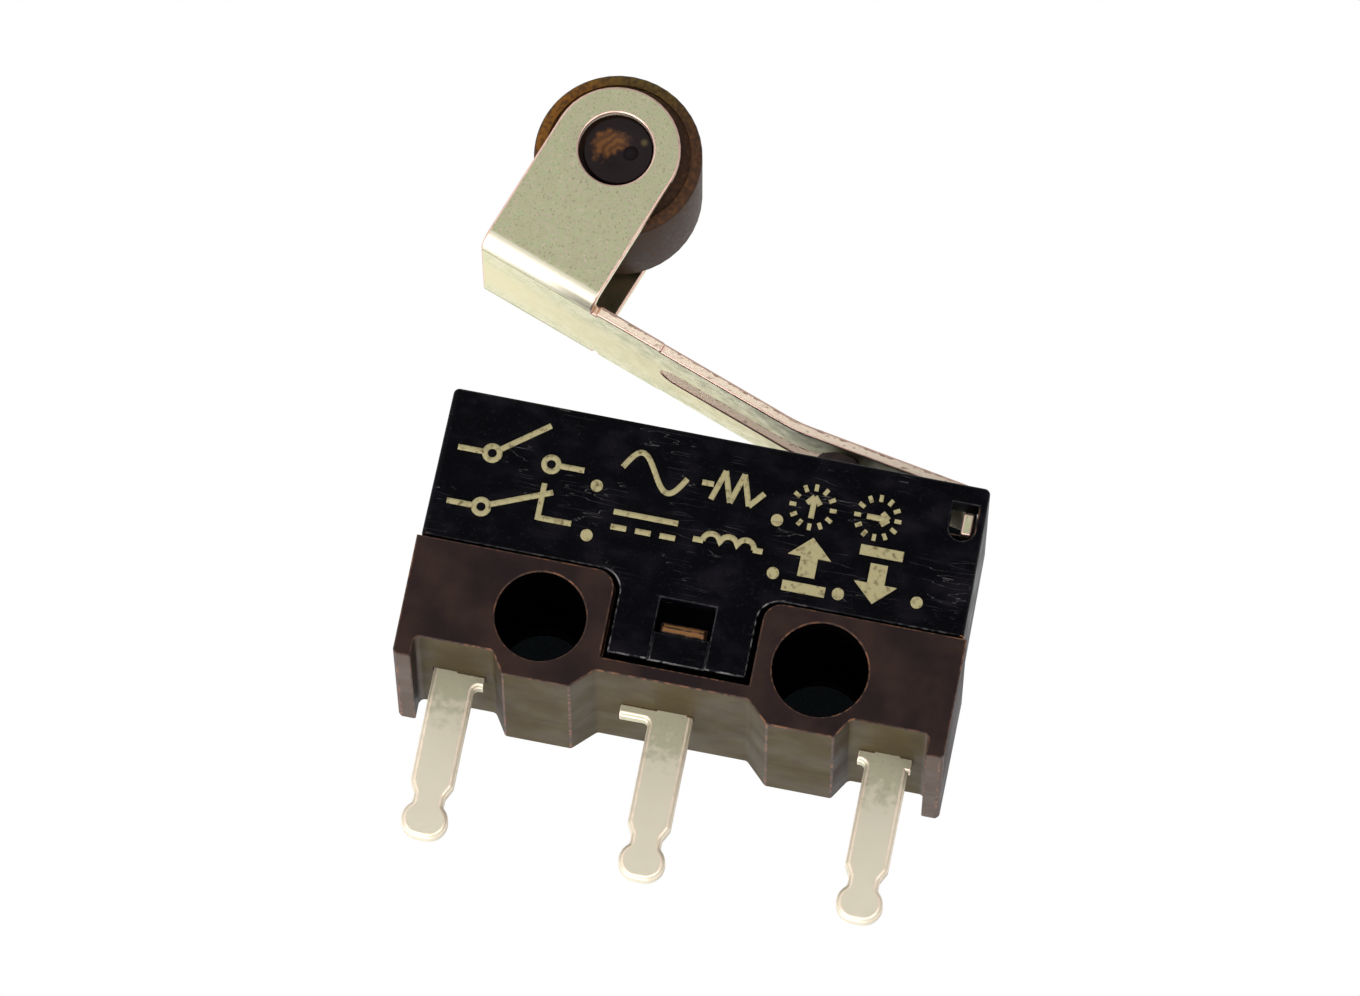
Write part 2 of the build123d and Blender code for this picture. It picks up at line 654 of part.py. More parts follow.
def make_plunger():
    """Button with a crowned top, a flange that stops under the cover, and a foot bar."""
    half = PLUNGER_WIDTH / 2
    crown_drop = PLUNGER_CROWN_RADIUS - math.sqrt(PLUNGER_CROWN_RADIUS**2 - half**2)
    left = plunger_x - half
    right = plunger_x + half
    edge_z = plunger_top_z - crown_drop
    edges = [
        Polyline((left, edge_z), (left, flange_bottom_z), (right, flange_bottom_z), (right, edge_z)),
        ThreePointArc((right, edge_z), (plunger_x, plunger_top_z), (left, edge_z)),
    ]
    button = through(FRONT * make_face(Curve() + edges), PLUNGER_DEPTH)
    button = fillet(button.edges().filter_by(Axis.Z), PLUNGER_CORNER_RADIUS)
    flange_half = half + FLANGE_REACH
    flange_depth = PLUNGER_DEPTH + 2 * FLANGE_REACH
    flange_left = plunger_x - flange_half
    button += block(flange_left, flange_left + 2 * flange_half, flange_bottom_z, flange_top_z, flange_depth)
    bar_left = plunger_x - FOOT_BAR_WIDTH / 2
    bar_right = plunger_x + FOOT_BAR_WIDTH / 2
    return button + block(bar_left, bar_right, plunger_foot_z, flange_bottom_z, FOOT_BAR_DEPTH)


os.makedirs("parts", exist_ok=True)
PIECES = {
    "base": make_base(),
    "cover": make_cover(),
    "terminal_common": make_terminal_common(),
    "terminal_open": make_terminal_open(),
    "terminal_closed": make_terminal_closed(),
    "contact_open": make_fixed_contact(arm_top_z, open_face_z),
    "contact_closed": make_fixed_contact(closed_face_z, top_arm_z),
    "contact_moving": make_moving_contact(),
    "blade": make_blade(),
    "plunger": make_plunger(),
    "lever": make_lever(),
    "roller": make_roller(),
}
for piece_name, piece_shape in PIECES.items():
    write(piece_shape, piece_name)
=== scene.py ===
"""Micro switch with a roller lever: the finish of its pieces and the studio it stands in.

Lengths in the tables below are in millimetres, and everything in the scene is in metres.
"""
import json
import math

import bmesh
import bpy
from bpy.props import FloatProperty, FloatVectorProperty, IntProperty, PointerProperty
from mathutils import Matrix, Vector


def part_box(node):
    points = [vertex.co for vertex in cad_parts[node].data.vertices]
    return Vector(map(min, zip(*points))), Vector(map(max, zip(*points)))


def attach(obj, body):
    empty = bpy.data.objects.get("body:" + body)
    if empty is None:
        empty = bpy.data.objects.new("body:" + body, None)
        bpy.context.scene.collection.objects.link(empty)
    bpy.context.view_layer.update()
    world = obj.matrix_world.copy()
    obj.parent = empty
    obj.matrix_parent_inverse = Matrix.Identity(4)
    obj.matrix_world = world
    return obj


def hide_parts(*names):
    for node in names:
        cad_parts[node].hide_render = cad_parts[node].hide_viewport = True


bl_info = {
    "name": "Roller lever micro switch",
    "version": (1, 0, 0),
    "blender": (4, 5, 0),
    "location": "View3D > Sidebar > Micro switch",
    "description": "Finishes the pieces of a small snap switch and sets up its studio",
    "category": "Object",
}

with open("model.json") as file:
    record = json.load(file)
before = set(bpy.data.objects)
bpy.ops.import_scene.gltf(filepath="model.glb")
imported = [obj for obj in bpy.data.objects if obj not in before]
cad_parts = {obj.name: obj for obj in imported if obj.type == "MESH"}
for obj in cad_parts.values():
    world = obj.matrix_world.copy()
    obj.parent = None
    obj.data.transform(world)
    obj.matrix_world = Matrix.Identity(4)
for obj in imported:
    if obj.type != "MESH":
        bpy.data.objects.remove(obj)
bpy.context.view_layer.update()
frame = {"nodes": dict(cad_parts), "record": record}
BODY_OF_NODE = {
    node: body for body, nodes in frame["record"]["behaviour"]["bodies"].items() for node in nodes
}

MM = 0.001
MERGE_DISTANCE = 5e-7
FLAT_ANGLE = math.radians(0.3)
SHARP_ANGLE = math.radians(32)
# Shares of a face's normal along an axis
SQUARE_ON = 0.9
STEEP = 0.75
TURNED_OFF = 0.3
EDGE_ON = 0.1
DOWNWARD = -0.05
FOLD_TURN = (0.15, 0.99)
FACING = (0.35, 0.8)
# Where most of a noise's values lie
NOISE_RANGE = (0.3, 0.7)

# Places on the switch, in millimetres, and its slopes
COVER_DRAFT = math.radians(0.8)
COVER_END_X = 6.125
COVER_TOP_Z = 4.85
TAB_SIDE_X = 1.25
TAB_ROOT_Z = 1.4
TAB_FOOT_Z = -0.415
HOLE_X = 3.25
HOLE_REACH = 1.2
FOOT_X = 5.88
PARTING_Y = 0.7
NUB_HALF_WIDTH = 0.52
NUB_Z = (0, 0.7)
RECESS_HALF_WIDTH = 1.9
RECESS_Y = (1.5, 2.37)
RECESS_Z = (-1, 2.1)
STAIN_Z = (-2.3, -1.5)
LEVER_BEND = (1.6, 6.03)
FAR_SLOPE = math.radians(20)
NEAR_SLOPE = math.radians(10)
SLOT_HALF_WIDTH = 0.38
BELLY_Y = 0.2
FORK_START_X = -3.675
FOLD_Y = 1.58
# Faces of the fork lie past these: an X or a Z, and a Y to either side
FOLD_HIGHLIGHT_BOX = (-3.5, 1.6)
EAR_EDGES = (8.9, 1.75)
EAR_INSIDES = (8.5, 1.7)
ROLLER_RING = (1.66, 1.925)
HUB_RADIUS = 0.82
HUB_SPOT = (-0.24, 0, 0.1)
# Place of the painted glint on the axle's end
HUB_GLINT = (0.56, 0, 0.3)

# Ends of the roller: radians of swirl in a millimetre, two directions of painted highlight and the least tint
SWIRL_RATE = 36
WARM_HIGHLIGHT_SIDE = (-0.9, 0, 0.44)
OLIVE_HIGHLIGHT_SIDE = (0.2, 0, 0.98)
LEAST_TINT = 0.22


def shade(red, green, blue):
    """A colour as a screen shows it, 0 to 255, in the scene's linear values."""
    values = []
    for value in (red, green, blue):
        value /= 255
        values.append(value / 12.92 if value <= 0.04045 else ((value + 0.055) / 1.055) ** 2.4)
    return tuple(values)


def length(name, description, millimetres):
    """A length property with its default in millimetres."""
    return FloatProperty(
        name=name,
        description=description,
        default=millimetres * MM,
        min=0,
        precision=5,
        subtype="DISTANCE",
        unit="LENGTH",
    )


def rotation(name, description, degrees):
    """An angle property with its default in degrees."""
    return FloatProperty(
        name=name, description=description, default=math.radians(degrees), subtype="ANGLE", unit="ROTATION"
    )


def watts(name, description, default):
    """The power of a lamp."""
    return FloatProperty(name=name, description=description, default=default, min=0, unit="POWER")


def tint(name, description, red, green, blue):
    """A colour property with its default as a screen shows it."""
    return FloatVectorProperty(
        name=name,
        description=description,
        default=shade(red, green, blue),
        min=0,
        max=1,
        size=3,
        subtype="COLOR",
    )


class SwitchSizes(bpy.types.PropertyGroup):
    """Sizes of the finish."""

    moulded_edge: length("Moulded edge", "Width of the soft edges of the mouldings", 0.035)
    stamped_edge: length("Stamped edge", "Width of the soft edges of the stamped strips", 0.03)
    burnished_rim: length("Burnished rim", "Width of the rim round the lever's sheet", 0.05)
    stroke: length("Stroke", "Width of the raised lines on the cover", 0.13)
    relief: length("Relief", "How far the raised lines stand proud", 0.04)
    ring: length("Ring", "Radius of the ring of ticks on the cover", 0.47)
    ticks: IntProperty(name="Ticks", description="Ticks on the ring", default=12, min=3)


class SwitchColours(bpy.types.PropertyGroup):
    """Colours of the finish."""

    base: tint("Base", "Face of the brown base moulding", 53, 39, 34)
    base_dark: tint("Base, dark", "Darker clouds in the base moulding", 36, 26, 27)
    # Khaki underside, and the greyer feet below: painted light from below
    base_under_lit: tint("Base, underside", "Khaki underside of the base moulding", 68, 58, 34)
    base_foot: tint("Base, feet", "Greyer underside of the two end feet", 86, 74, 66)
    # Paler edge tone: partly wear and partly painted highlight
    base_edge: tint("Base, edges", "Rubbed edges of the base moulding", 118, 80, 58)
    # Near black of the hole and recess walls: painted shade
    bore_shade: tint("Bore", "Walls of the mounting holes", 2, 2, 3)
    nub: tint("Nub", "Rubbed nub in the snap window", 130, 90, 46)
    # Paler ramp of the nub: painted light
    nub_top_painted_light: tint("Nub, top", "Ramp of the nub", 214, 156, 92)
    cover: tint("Cover", "Face of the black cover", 3, 3, 7)
    cover_haze: tint("Cover, haze", "Paler haze on the cover", 22, 19, 26)
    # Warm outline of the cover: painted highlight
    cover_edge: tint("Cover, edges", "Rubbed outline of the cover", 150, 98, 54)
    cover_dull: tint("Cover, inner edges", "Edges of the windows in the cover", 50, 48, 52)
    # Silver: painted highlight on the tab's edges, and the colour of the hair scratches
    cover_silver_highlight_and_scratch: tint("Cover, tab", "Edges of the cover's snap tab", 132, 128, 128)
    marks: tint("Marks", "Top of the raised lines", 168, 158, 118)
    # Also the colour of the painted glint on the roller's axle
    marks_worn_and_hub_glint: tint("Marks, worn", "Worn spots of the raised lines", 104, 90, 60)
    lever: tint("Lever", "Sheet of the lever", 238, 236, 194)
    lever_mottle: tint("Lever, mottle", "Duller clouds in the lever's sheet", 216, 220, 176)
    # Creamier belly under the arm: painted reflection
    lever_belly_reflection: tint("Lever, belly", "Creamier belly under the arm", 240, 230, 180)
    # Dark line along the folds: painted shade
    lever_fold_shade: tint("Lever, crease", "Pressed line along the folds", 110, 104, 64)
    # Pale skin of the folds: painted highlight
    lever_fold_highlight: tint("Lever, fold", "Burnished skin of the folds", 226, 219, 196)
    # Darker inner faces of the fork: painted shade
    lever_inside_shade: tint("Lever, inside", "Inner faces of the fork, dulled by the roller", 132, 126, 100)
    rim: tint("Lever, rim", "Burnished rim round the sheet", 238, 202, 186)
    cut: tint("Cut edge", "Sheared edges of the lever's sheet", 252, 232, 210)
    cut_dark: tint("Cut edge, dark", "Tear marks in the sheared edges", 128, 92, 66)
    pin: tint("Pin", "Plating of the pins", 218, 210, 188)
    pin_stain: tint("Pin, stain", "Stain of the pins near the base", 160, 158, 124)
    roller: tint("Roller", "Rim and ends of the roller", 58, 42, 33)
    roller_grain: tint("Roller, grain", "Warm grain in the roller", 108, 70, 40)
    # Warm and olive sides of the roller's ring: painted highlight
    roller_ring_highlight: tint("Roller, ring", "Warm side of the ring round its ends", 130, 86, 35)
    roller_olive_highlight: tint("Roller, olive", "Olive side of that ring", 100, 86, 40)
    roller_hub: tint("Roller, hub", "Dark ends of the axle", 34, 27, 28)
    plunger: tint("Plunger", "Plunger moulding", 64, 46, 38)
    spring: tint("Spring", "Copper alloy of the snap blade", 196, 134, 92)
    contact: tint("Contact", "Silver of the contacts", 226, 224, 220)


class SwitchStage(bpy.types.PropertyGroup):
    """Camera and light."""

    azimuth: rotation("Azimuth", "Direction of the camera's view, 0 along +Y", 3.116)
    elevation: rotation("Elevation", "Angle of the camera above the level of the switch", -15.023)
    roll: rotation("Roll", "Turn of the picture about the line of sight", 11.63)
    distance: length("Distance", "From the camera to the point that it looks at", 277.35)
    lens: FloatProperty(name="Lens", description="Focal length in millimetres", default=317.65, min=1)
    ambient: FloatProperty(name="Ambient", description="Light from all round", default=0.5, min=0)
    front_reflection: FloatProperty(
        name="Front reflection",
        description="How bright the room in front of the switch looks in its metal",
        default=0.4,
        min=0,
        max=1,
    )
    key_power: watts("Key lamp", "Key lamp from the lower right", 0.45)
    fill_power: watts("Fill lamp", "Fill lamp from the upper left", 0.3)
    low_power: watts("Low lamp", "Lamp below the switch", 0.36)


# Nodes and materials


class NodeMaker:
    """Adds nodes to a tree one by one."""

    def __init__(self, tree):
        self.tree = tree

    def add(self, kind, inputs=(), **settings):
        """A node with these settings, its inputs fed by socket or value."""
        node = self.tree.nodes.new(kind)
        for name, value in settings.items():
            setattr(node, name, value)
        for name, value in dict(inputs).items():
            self.feed(node.inputs[name], value)
        return node

    def feed(self, socket, value):
        """Link a socket to a socket, or set it to a value."""
        if isinstance(value, bpy.types.NodeSocket):
            self.tree.links.new(value, socket)
        else:
            socket.default_value = value

    def number(self, operation, first, second=0.0):
        """Arithmetic on numbers."""
        return self.add("ShaderNodeMath", {0: first, 1: second}, operation=operation).outputs[0]

    def times(self, first, second):
        """The product of two numbers."""
        return self.number("MULTIPLY", first, second)

    def apart(self, value, place):
        """How far a value is from a place, either way."""
        return self.number("ABSOLUTE", self.number("SUBTRACT", value, place))

    def spread(self, value, low, high, to_low=0.0, to_high=1.0):
        """Stretch the part of a value between low and high to a new range."""
        names = ("Value", "From Min", "From Max", "To Min", "To Max")
        inputs = dict(zip(names, (value, low, high, to_low, to_high)))
        return self.add("ShaderNodeMapRange", inputs, interpolation_type="SMOOTHSTEP").outputs["Result"]

    def past(self, value, edge, blur):
        """1 past a blurred edge and 0 short of it. A negative blur swaps the two."""
        return self.spread(value, edge - blur, edge + blur)


class Recipe(NodeMaker):
    """A material's nodes, added one by one on the piece's own millimetres."""

    def __init__(self, name, roughness=0.5, metallic=0.0, gloss=0.5):
        self.material = bpy.data.materials.new(name)
        self.material.use_nodes = True
        super().__init__(self.material.node_tree)
        self.tree.nodes.clear()
        inputs = {"Roughness": roughness, "Metallic": metallic, "Specular IOR Level": gloss}
        self.shader = self.add("ShaderNodeBsdfPrincipled", inputs)
        self.add("ShaderNodeOutputMaterial", {"Surface": self.shader.outputs["BSDF"]})
        coordinates = self.add("ShaderNodeTexCoord")
        self.normal = coordinates.outputs["Normal"]
        self.place = self.vector("MULTIPLY", coordinates.outputs["Object"], (1 / MM,) * 3)

    def vector(self, operation, first, second):
        """Vector arithmetic. A dot product and a distance give a number."""
        node = self.add("ShaderNodeVectorMath", {0: first, 1: second}, operation=operation)
        return node.outputs["Value" if operation in ("DOT_PRODUCT", "DISTANCE") else "Vector"]

    def axis(self, name):
        """The X, Y or Z of the place, in millimetres."""
        return self.add("ShaderNodeSeparateXYZ", {0: self.place}).outputs[name]

    def noise(self, per_mm, detail=3.0, stretch=(1, 1, 1), shift=(0, 0, 0)):
        """Clouds with this many swings in a millimetre, stretched along the axes."""
        place = self.vector("MULTIPLY", self.vector("ADD", self.place, shift), stretch)
        return self.add("ShaderNodeTexNoise", {"Vector": place, "Scale": per_mm, "Detail": detail}).outputs[0]

    def feed_colour(self, socket, value):
        """Give a colour socket a socket or a colour."""
        self.feed(socket, value if isinstance(value, bpy.types.NodeSocket) else (*value, 1))

    def mix(self, share, first, second):
        """Two colours mixed, each a colour or a socket."""
        node = self.add("ShaderNodeMix", data_type="RGBA")
        factor, one, two = [socket for socket in node.inputs if socket.enabled][:3]
        self.feed(factor, share)
        self.feed_colour(one, first)
        self.feed_colour(two, second)
        return next(socket for socket in node.outputs if socket.enabled)

    def blend(self, value, low, high, first, second, most=1.0):
        """Two colours, the second coming in as a value runs from low to high."""
        return self.mix(self.spread(value, low, high, 0.0, most), first, second)

    def facing(self, direction):
        """1 where the surface faces this way, and 0 where it is turned from it."""
        return self.spread(self.vector("DOT_PRODUCT", self.normal, direction), *FACING)

    def colour(self, value):
        """Colour of the surface."""
        self.feed_colour(self.shader.inputs["Base Color"], value)

    def rough(self, value, low, high):
        """Roughness that runs from low to high with a value."""
        self.feed(self.shader.inputs["Roughness"], self.spread(value, *NOISE_RANGE, low, high))

    def bump(self, height, depth, strength=1.0):
        """Relief of the surface, its depth in millimetres. A later one lies over the others."""
        node = self.add("ShaderNodeBump", {"Distance": depth * MM, "Strength": strength, "Height": height})
        before = self.shader.inputs["Normal"]
        if before.is_linked:
            self.tree.links.new(before.links[0].from_socket, node.inputs["Normal"])
        self.tree.links.new(node.outputs["Normal"], before)


def base_moulding(colours):
    """Warm brown moulding, cloudy in front; its khaki underside, greyer under the end feet, is painted light
    from below.
    """
    recipe = Recipe("base_moulding", gloss=0.07)
    clouds = recipe.noise(0.7, 5)
    grain = recipe.noise(16, 2)
    drags = recipe.noise(2.2, 4, (1, 0.4, 1))
    parting = recipe.spread(recipe.apart(recipe.axis("Y"), PARTING_Y), 0.045, 0.015)
    feet = recipe.past(recipe.number("ABSOLUTE", recipe.axis("X")), FOOT_X, 0.04)
    front = recipe.blend(clouds, 0.35, 0.66, colours.base_dark, colours.base)
    # The underside's tones are painted light from below
    under = recipe.blend(drags, 0.35, 0.7, colours.base_under_lit, colours.base, 0.35)
    under = recipe.mix(feet, under, colours.base_foot)
    under = recipe.mix(recipe.times(parting, 0.55), under, colours.base_dark)
    recipe.colour(recipe.mix(recipe.facing((0, 0, -1)), front, under))
    recipe.rough(clouds, 0.42, 0.6)
    recipe.bump(drags, 0.012, 0.3)
    recipe.bump(grain, 0.006, 0.5)
    return recipe.material


def bore_wall(colours):
    """Walls of the mounting holes and of the recesses behind the cover's snap tabs: near black, painted
    shade, with faint rings.
    """
    recipe = Recipe("bore_wall", 0.85, gloss=0.0)
    rings = recipe.noise(1.4, 3, (0.4, 4, 0.4))
    recipe.colour(recipe.blend(rings, 0.4, 0.7, colours.bore_shade, colours.base_dark, 0.15))
    recipe.bump(rings, 0.01, 0.4)
    return recipe.material


def wear_and_highlight(recipe):
    """Share of an edge that takes its paler tone, partly wear and partly painted highlight: fine, stronger in
    some stretches.
    """
    stretches = recipe.spread(recipe.noise(0.9, 2, shift=(3, 1, 4)), 0.38, 0.6, 0.25, 1.0)
    return recipe.times(recipe.spread(recipe.noise(7, 4), 0.4, 0.6), stretches)


def base_rim(colours):
    """Edges of the base, paler in patches: partly wear and partly painted highlight."""
    recipe = Recipe("base_edge", 0.5, gloss=0.2)
    recipe.colour(recipe.mix(wear_and_highlight(recipe), colours.base, colours.base_edge))
    recipe.bump(recipe.noise(14, 2), 0.006, 0.4)
    return recipe.material


def cover_rim(colours):
    """Edges of the cover: a warm painted highlight round its outline and a silvery painted highlight round
    the tab, both patchy, and dull at the windows.
    """
    recipe = Recipe("cover_edge", 0.42, gloss=0.15)
    across = recipe.number("ABSOLUTE", recipe.axis("X"))
    height = recipe.axis("Z")
    ends = recipe.past(across, COVER_END_X, 0.075)
    outline = recipe.number("MAXIMUM", ends, recipe.past(height, COVER_TOP_Z, 0.05))
    sides = recipe.times(recipe.past(across, TAB_SIDE_X, 0.05), recipe.past(height, TAB_ROOT_Z, -0.1))
    tab = recipe.number("MAXIMUM", sides, recipe.past(height, TAB_FOOT_Z, -0.035))
    # Silvery tab edges and warm outline: painted highlight
    edge = recipe.mix(tab, colours.cover_dull, colours.cover_silver_highlight_and_scratch)
    edge = recipe.mix(outline, edge, colours.cover_edge)
    recipe.colour(recipe.mix(wear_and_highlight(recipe), colours.cover, edge))
    recipe.bump(recipe.noise(14, 2), 0.006, 0.4)
    return recipe.material


def snap_nub(colours):
    """The nub that the window snaps over, in a warm tone, with its ramp painted paler as if lit from above.
    """
    recipe = Recipe("snap_nub", 0.55, gloss=0.2)
    grain = recipe.noise(11, 4, (1, 1, 2))
    # The upward ramp is painted lighter: painted light
    body = recipe.mix(recipe.facing((0, 0, 1)), colours.nub, colours.nub_top_painted_light)
    recipe.colour(recipe.blend(grain, 0.3, 0.7, body, colours.base_edge, 0.6))
    recipe.bump(grain, 0.01, 0.6)
    return recipe.material


def cover_moulding(colours):
    """Black moulding with a slight gloss, a faint haze and hair scratches."""
    recipe = Recipe("cover_moulding", gloss=0.055)
    haze = recipe.noise(1.1, 6, (1, 1, 1.6))
    dust = recipe.spread(recipe.noise(24, 3, shift=(1, 6, 2)), 0.64, 0.74, 0.0, 0.5)
    speckle = recipe.noise(9, 3)
    fall = recipe.noise(1.7, 2, (0.35, 1, 3.2), (2, 0, 5))
    scratch = recipe.spread(recipe.apart(fall, 0.5), 0.0, 0.006, 1.0, 0.0)
    patches = recipe.spread(recipe.noise(0.9, 2, shift=(7, 2, 1)), 0.52, 0.62)
    scratch = recipe.times(scratch, patches)
    body = recipe.blend(haze, 0.45, 0.75, colours.cover, colours.cover_haze, 0.8)
    body = recipe.blend(speckle, 0.58, 0.78, body, colours.cover_haze, 0.8)
    body = recipe.mix(dust, body, colours.cover_dull)
    recipe.colour(recipe.mix(recipe.times(scratch, 0.4), body, colours.cover_silver_highlight_and_scratch))
    recipe.rough(haze, 0.32, 0.48)
    recipe.bump(speckle, 0.006, 0.5)
    recipe.bump(scratch, 0.004, 0.3)
    return recipe.material


def raised_marks(colours):
    """Khaki top of the raised lines, worn in spots."""
    recipe = Recipe("raised_marks", 0.6, gloss=0.25)
    wear = recipe.noise(9, 5)
    recipe.colour(recipe.blend(wear, 0.5, 0.75, colours.marks, colours.marks_worn_and_hub_glint))
    recipe.bump(wear, 0.01, 0.6)
    return recipe.material


def lever_sheet(colours):
    """Satin sheet with fine specks, a creamier belly under the arm that is a painted reflection and a dark
    line at the folds that is painted shade.
    """
    recipe = Recipe("lever_sheet", metallic=1.0)
    clouds = recipe.noise(3.4, 6)
    specks = recipe.noise(15, 4)
    pits = recipe.noise(17, 4, shift=(5, 3, 1))
    rolled = recipe.noise(5, 2, (0.25, 4, 0.25))
    body = recipe.blend(clouds, 0.34, 0.7, colours.lever, colours.lever_mottle)
    body = recipe.blend(specks, 0.54, 0.64, body, colours.cut, 0.8)
    body = recipe.blend(pits, 0.56, 0.68, body, colours.cut_dark, 0.4)
    # Creamier belly on the faces turned down: painted reflection
    beneath = recipe.facing((0, 0, -1))
    across = recipe.axis("Y")
    belly = recipe.spread(recipe.apart(across, BELLY_Y), 1.4, 0.3, 0.0, 0.8)
    body = recipe.mix(recipe.times(beneath, belly), body, colours.lever_belly_reflection)
    # Dark line along the folds on the faces turned down: painted shade
    crease = recipe.spread(recipe.apart(recipe.number("ABSOLUTE", across), FOLD_Y), 0.035, 0.01)
    crease = recipe.times(crease, recipe.past(recipe.axis("X"), FORK_START_X, -0.075))
    recipe.colour(recipe.mix(recipe.times(crease, beneath), body, colours.lever_fold_shade))
    recipe.rough(clouds, 0.28, 0.38)
    recipe.bump(specks, 0.004, 0.5)
    recipe.bump(rolled, 0.002, 0.2)
    return recipe.material


def fold_skin(colours):
    """Skin of the folds, pale: painted highlight."""
    recipe = Recipe("fold_skin", 0.3, 0.5)
    drag = recipe.noise(3, 3, (0.3, 2, 2))
    recipe.colour(recipe.blend(drag, 0.55, 0.8, colours.lever_fold_highlight, colours.lever, 0.4))
    recipe.bump(drag, 0.004, 0.3)
    return recipe.material


def fork_inside(colours):
    """Inner faces of the fork, darkened: painted shade."""
    recipe = Recipe("fork_inside", metallic=1.0)
    smears = recipe.noise(2.4, 4, (1, 1, 0.5))
    recipe.colour(recipe.blend(smears, 0.35, 0.7, colours.lever_inside_shade, colours.cut_dark, 0.5))
    recipe.rough(smears, 0.26, 0.38)
    return recipe.material


def sheared_edge(colours):
    """Cut edge of the sheet: bright and torn, with a dark wavy line that follows the slopes of the arm."""
    recipe = Recipe("sheared_edge", 0.5, 0.4)
    tears = recipe.noise(5.5, 5, (1, 0.6, 2.2))
    body = recipe.blend(tears, 0.58, 0.76, colours.cut, colours.cut_dark, 0.7)
    along = recipe.number("SUBTRACT", LEVER_BEND[0], recipe.axis("X"))
    far = recipe.times(along, math.tan(FAR_SLOPE))
    near = recipe.times(along, math.tan(NEAR_SLOPE))
    top = recipe.number("ADD", recipe.number("MAXIMUM", far, near), LEVER_BEND[1])
    ripple = recipe.spread(tears, 0.3, 0.7, -0.03, 0.03)
    below = recipe.number("ADD", recipe.number("SUBTRACT", top, recipe.axis("Z")), ripple)
    line = recipe.times(recipe.spread(below, 0.08, 0.03), recipe.spread(below, -0.08, -0.05))
    recipe.colour(recipe.mix(line, body, colours.cut_dark))
    recipe.bump(tears, 0.02, 0.7)
    return recipe.material


def burnished_edge(colours):
    """Pinkish rim along the edges of the lever's sheet."""
    recipe = Recipe("burnished_edge", 0.36, 0.9)
    grain = recipe.noise(4, 4)
    recipe.colour(recipe.blend(grain, 0.5, 0.8, colours.rim, colours.cut_dark, 0.5))
    recipe.bump(grain, 0.004, 0.4)
    return recipe.material


def plated_edge(colours):
    """Bright rim of the plated strips."""
    recipe = Recipe("plated_edge", 0.4, 0.5)
    grain = recipe.noise(5, 4)
    recipe.colour(recipe.blend(grain, 0.45, 0.75, colours.cut, colours.pin_stain, 0.3))
    recipe.bump(grain, 0.004, 0.4)
    return recipe.material


def pin_plating(colours):
    """Pale plating of the pins, stained where they leave the base."""
    recipe = Recipe("pin_plating", metallic=0.2)
    clouds = recipe.noise(5, 6)
    reach = recipe.number("ADD", recipe.axis("Z"), recipe.spread(clouds, 0.2, 0.8, -0.5, 0.5))
    stain = recipe.spread(reach, *STAIN_Z, 0.0, 0.6)
    body = recipe.mix(stain, colours.pin, colours.pin_stain)
    spots = recipe.spread(recipe.noise(12, 4), 0.58, 0.8)
    recipe.colour(recipe.mix(recipe.times(spots, stain), body, colours.cut_dark))
    recipe.rough(clouds, 0.4, 0.55)
    recipe.bump(recipe.noise(18, 2), 0.003, 0.4)
    return recipe.material


def spring_strip(colours):
    """Rolled copper alloy with a faint tarnish."""
    recipe = Recipe("spring_strip", metallic=1.0)
    tarnish = recipe.noise(1.6, 4)
    rolled = recipe.noise(6, 2, (0.3, 4, 0.3))
    recipe.colour(recipe.blend(tarnish, 0.4, 0.75, colours.spring, colours.cut_dark, 0.5))
    recipe.rough(tarnish, 0.26, 0.42)
    recipe.bump(rolled, 0.002, 0.4)
    return recipe.material


def contact_metal(colours):
    """Contact metal with small pits where it meets its partner."""
    recipe = Recipe("contact_metal", metallic=1.0)
    pits = recipe.noise(7, 4)
    recipe.colour(recipe.blend(pits, 0.6, 0.8, colours.contact, colours.cut_dark, 0.6))
    recipe.rough(pits, 0.22, 0.42)
    recipe.bump(pits, 0.006, 0.4)
    return recipe.material


